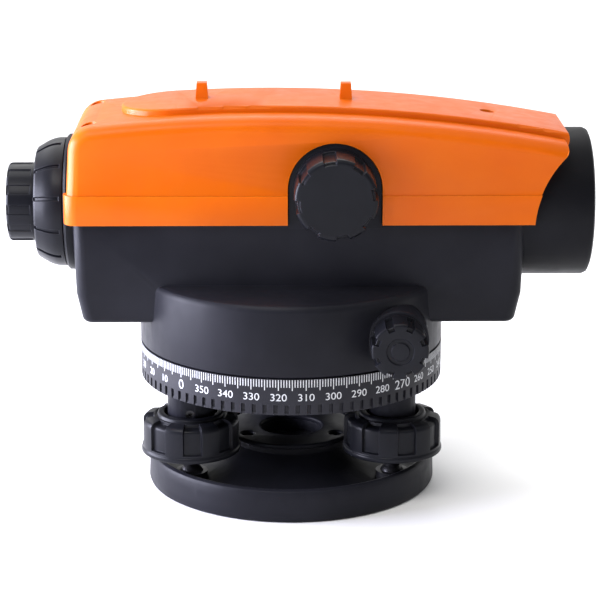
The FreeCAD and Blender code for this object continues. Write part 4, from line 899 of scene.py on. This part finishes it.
@dataclass
class TangentKnobs:
    """The two scalloped knobs of the slow motion, one each side."""

    length: float = 12.0 * MM
    bore_radius: float = 3.0 * MM
    scallops: int = 8
    turned_by: float = 22.5
    half_scallop: float = 9.5
    depth: float = 1.2 * MM
    scallop_rim: float = 0.2 * MM
    collar: float = 1.6 * MM
    ease: float = 0.18 * MM
    facets: int = 128

    def knob(self, lathe: Lathe, radius: float) -> bmesh.types.BMesh:
        """Turns one knob, with a ring and a disc on its face, and presses its scallops in.

        Args:
            lathe: The knob's axis, from its inner end outwards.
            radius: The knob's radius.
        Returns:
            Its mesh.
        """
        end = self.length
        rim = radius - 2.3 * MM
        outline = [
            Station(0, self.bore_radius), Station(0, radius, 0.5 * MM), Station(self.collar, radius),
            Station(end, radius, 0.9 * MM), Station(end, rim), Station(end, 4.6 * MM, 0.15 * MM),
            Station(end - 0.5 * MM, 4.3 * MM, 0.15 * MM), Station(end - 0.5 * MM, 3.2 * MM, 0.15 * MM),
            Station(end, 2.9 * MM, 0.15 * MM), Station(end, 0), Station(end - 2.5 * MM, 0),
            Station(end - 2.5 * MM, self.bore_radius)]
        shape = lathe.turned(outline, self.facets)

        def in_scallop(point: Vector) -> bool:
            """Tells whether a face belongs to a scallop."""
            on_side = lathe.station(point) > self.collar and lathe.radius(point) > rim
            return on_side and lathe.off_centre(point, self.scallops, self.turned_by) < self.half_scallop
        sink(shape, in_scallop, self.scallop_rim, self.depth)
        return shape

    def build(self, bench: Bench) -> None:
        """Makes both knobs as one piece.

        Args:
            bench: Where the pieces are dressed and fixed.
        """
        low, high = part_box("tangent_knobs")
        middle = (low + high) / 2
        radius = (high.x - low.x) / 2
        both = bmesh.new()
        for side, far in ((-1, low.y), (1, high.y)):
            centre = Vector((middle.x, far - side * self.length, middle.z))
            one = self.knob(Lathe(centre, Vector((0, side, 0))), radius)
            gathered = bpy.data.meshes.new("knob")
            one.to_mesh(gathered)
            one.free()
            both.from_mesh(gathered)
            bpy.data.meshes.remove(gathered)
        bench.fix(as_piece(both, "scalloped_knobs", self.ease), Body.TANGENT, Slot.KNOB, "tangent_knobs")


@dataclass
class Eyepiece:
    """Screw-on eyepiece cover with domed panels, and the dioptre ring behind it."""

    panels: int = 12
    snout_radius: float = 15.0 * MM
    rear_radius: float = 19.5 * MM
    flats: int = 12
    eye_hole: float = 7.5 * MM
    skirt_radius: float = 12.5 * MM
    skirt_bore: float = 11.2 * MM
    skirt_length: float = 7.0 * MM
    shoulder: float = 1.2 * MM
    half_groove: float = 1.9
    groove_rim: float = 0.12 * MM
    groove_depth: float = 0.8 * MM
    half_flat: float = 7.0
    flat_rim: float = 0.2 * MM
    flat_depth: float = 0.45 * MM
    cover_ease: float = 0.2 * MM
    ring_ease: float = 0.18 * MM

    def cover(self, bench: Bench) -> None:
        """Turns the cover and presses grooves between its panels.

        Args:
            bench: Where the pieces are dressed and fixed.
        """
        low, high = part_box("eyepiece_cover")
        radius = (high.z - low.z) / 2
        length = high.x - low.x
        lathe = Lathe(Vector((low.x, 0, (low.z + high.z) / 2)), Vector((1, 0, 0)))
        shoulder = self.shoulder
        outline = [
            Station(0, self.snout_radius), Station(0, self.rear_radius - 2.4 * MM),
            Station(0.3 * MM, self.rear_radius - 0.6 * MM, 0.8 * MM),
            Station(length * 0.5, radius - 0.5 * MM, 2.0 * MM), Station(length - 2.6 * MM, radius, 0.8 * MM),
            Station(length - shoulder, radius), Station(length, radius, 0.3 * MM),
            Station(length, self.snout_radius)]
        shape = lathe.turned(outline, self.panels * 16)

        def in_groove(point: Vector) -> bool:
            """Tells whether a face belongs to a groove."""
            outer = lathe.radius(point) > self.rear_radius - 2.0 * MM
            on_side = outer and lathe.station(point) < length - shoulder
            return on_side and lathe.off_centre(point, self.panels, 15.0) < self.half_groove
        sink(shape, in_groove, self.groove_rim, self.groove_depth)
        piece = as_piece(shape, "panelled_cover_ring", self.cover_ease)
        bench.fix(piece, Body.TELESCOPE, Slot.KNOB, "eyepiece_cover")

    def dioptre(self, bench: Bench) -> None:
        """Turns the dioptre ring and presses its finger flats in.

        Args:
            bench: Where the pieces are dressed and fixed.
        """
        low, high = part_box("dioptre_ring")
        radius = (high.y - low.y) / 2
        length = high.x - low.x
        body = length - self.skirt_length
        lathe = Lathe(Vector((low.x, 0, (low.z + high.z) / 2)), Vector((1, 0, 0)))
        outline = [
            Station(0, self.eye_hole, 0.5 * MM), Station(0, radius, 1.4 * MM),
            Station(body - 1.1 * MM, radius),
            Station(body, radius, 0.3 * MM), Station(body, self.skirt_radius),
            Station(length, self.skirt_radius),
            Station(length, self.skirt_bore), Station(1.8 * MM, self.skirt_bore),
            Station(1.2 * MM, self.eye_hole + 1.6 * MM)]
        shape = lathe.turned(outline, self.flats * 16)

        def in_flat(point: Vector) -> bool:
            """Tells whether a face belongs to a finger flat."""
            on_side = lathe.station(point) < body - 1.1 * MM and lathe.radius(point) > radius - 0.7 * MM
            return on_side and lathe.off_centre(point, self.flats, 0.0) < self.half_flat
        sink(shape, in_flat, self.flat_rim, self.flat_depth)
        piece = as_piece(shape, "fluted_dioptre_ring", self.ring_ease)
        bench.fix(piece, Body.DIOPTRE, Slot.KNOB, "dioptre_ring")

    def build(self, bench: Bench) -> None:
        """Makes the cover and the ring."""
        self.cover(bench)
        self.dioptre(bench)


# ---------------------------------------------------------------- studio
@dataclass(frozen=True)
class Softbox:
    """A soft rectangular light that points at the instrument."""

    name: str
    place: tuple[float, float, float]
    size: tuple[float, float]
    power: float
    colour: Colour
    aim: tuple[float, float, float] = (0.0, 0.0, 0.07)

    def hang(self) -> None:
        """Adds the light."""
        lamp = bpy.data.lights.new(self.name, "AREA")
        lamp.shape = "RECTANGLE"
        lamp.size, lamp.size_y = self.size
        lamp.energy = self.power
        lamp.color = self.colour
        holder = bpy.data.objects.new(self.name, lamp)
        bpy.context.scene.collection.objects.link(holder)
        holder.location = self.place
        holder.rotation_euler = (Vector(self.aim) - Vector(self.place)).to_track_quat("-Z", "Y").to_euler()


SOFTBOXES = (
    Softbox("key", (-0.40, -0.75, 1.15), (0.7, 0.5), 8.5, (1.0, 0.98, 0.95)),
    Softbox("left", (-0.55, -0.02, 0.15), (0.50, 0.28), 13.0, (0.80, 0.81, 1.0)),
)


@dataclass
class Studio:
    """Pale floor, pale surroundings, soft lights and the camera.

    Attributes:
        floor_half: Half the floor's width, in metres.
        front_glow: Strength of the surroundings in front.
        back_glow: Their strength behind.
        top_glow: Their strength overhead.
        back_span: Where the strength goes from front to back, as the Y part of a direction.
        top_span: Where it goes over to the one overhead, as the Z part of a direction.
        far_power: Strength of the broad far light.
        far_width: Its width in degrees.
        far_lean: Its lean about X and Y, in degrees.
        near_clip: Nearest distance that the camera shows, in metres.
    """

    floor_half: float = 8.0
    floor_colour: Colour = (0.88, 0.88, 0.89)
    floor_gloss: float = 0.7
    front_glow: float = 0.14
    back_glow: float = 1.05
    top_glow: float = 0.95
    back_span: tuple[float, float] = (-0.5, 0.5)
    top_span: tuple[float, float] = (0.35, 0.9)
    far_power: float = 2.2
    far_width: float = 60.0
    far_lean: tuple[float, float] = (-32.0, -14.0)
    near_clip: float = 0.05
    lens: float = 131.1
    camera_place: tuple[float, float, float] = (-0.0049, -0.7410, 0.2697)
    pitch_down: float = 15.5
    yaw: float = -0.62

    def floor(self) -> None:
        """Lays a wide plain floor."""
        shape = bmesh.new()
        bmesh.ops.create_grid(shape, x_segments=1, y_segments=1, size=self.floor_half)
        piece = as_piece(shape, "floor")
        surface = Surface("floor")
        patches = surface.noise(0.4)
        paler = tuple(part * 1.02 for part in self.floor_colour)
        surface.feed("Base Color", surface.mix(patches, self.floor_colour, paler))
        surface.constant(Roughness=self.floor_gloss)
        piece.data.materials.append(surface.material)

    def surroundings(self) -> None:
        """Fills the room with light that is dim in front and brighter behind and overhead."""
        world = bpy.data.worlds.new("studio")
        world.use_nodes = True
        tree = world.node_tree
        way = tree.nodes.new("ShaderNodeSeparateXYZ")
        tree.links.new(tree.nodes.new("ShaderNodeTexCoord").outputs["Generated"], way.inputs[0])
        levels = []
        for part, span, glow in (("Y", self.back_span, (self.front_glow, self.back_glow)),
                                 ("Z", self.top_span, (0.0, self.top_glow))):
            level = tree.nodes.new("ShaderNodeMapRange")
            level.interpolation_type = "SMOOTHSTEP"
            tree.links.new(way.outputs[part], level.inputs["Value"])
            for socket, value in zip(("From Min", "From Max", "To Min", "To Max"), (*span, *glow)):
                level.inputs[socket].default_value = value
            levels.append(level)
        brighter = tree.nodes.new("ShaderNodeMath")
        brighter.operation = "MAXIMUM"
        for level, socket in zip(levels, brighter.inputs):
            tree.links.new(level.outputs[0], socket)
        tree.links.new(brighter.outputs[0], tree.nodes["Background"].inputs["Strength"])
        tree.nodes["Background"].inputs["Color"].default_value = (1, 1, 1, 1)
        bpy.context.scene.world = world
        bpy.context.scene.view_settings.view_transform = "Standard"

    def daylight(self) -> None:
        """Hangs a broad far light that evens out the floor."""
        lamp = bpy.data.lights.new("far", "SUN")
        lamp.energy = self.far_power
        lamp.angle = math.radians(self.far_width)
        holder = bpy.data.objects.new("far", lamp)
        bpy.context.scene.collection.objects.link(holder)
        holder.rotation_euler = (*(math.radians(lean) for lean in self.far_lean), 0)

    def camera(self) -> None:
        """Places the camera."""
        data = bpy.data.cameras.new("camera")
        data.lens = self.lens
        data.clip_start = self.near_clip
        holder = bpy.data.objects.new("camera", data)
        bpy.context.scene.collection.objects.link(holder)
        holder.location = self.camera_place
        holder.rotation_euler = (math.radians(90 - self.pitch_down), 0, math.radians(self.yaw))
        bpy.context.scene.camera = holder

    def build(self) -> None:
        """Sets the whole studio up."""
        self.floor()
        self.surroundings()
        self.camera()
        self.daylight()
        for light in SOFTBOXES:
            light.hang()


def main() -> None:
    """Builds the instrument's looks and the studio."""
    logging.basicConfig(level=logging.INFO, format="%(message)s")
    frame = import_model()
    bench = Bench(frame)
    for assembly in (Base(), LevellingHead(), DegreeCircle(), Telescope(), Objective(), FocusKnob(),
                     TangentKnobs(), Eyepiece()):
        LOG.info("building %s", type(assembly).__name__)
        assembly.build(bench)
    Studio().build()


if __name__ == "__main__":
    main()
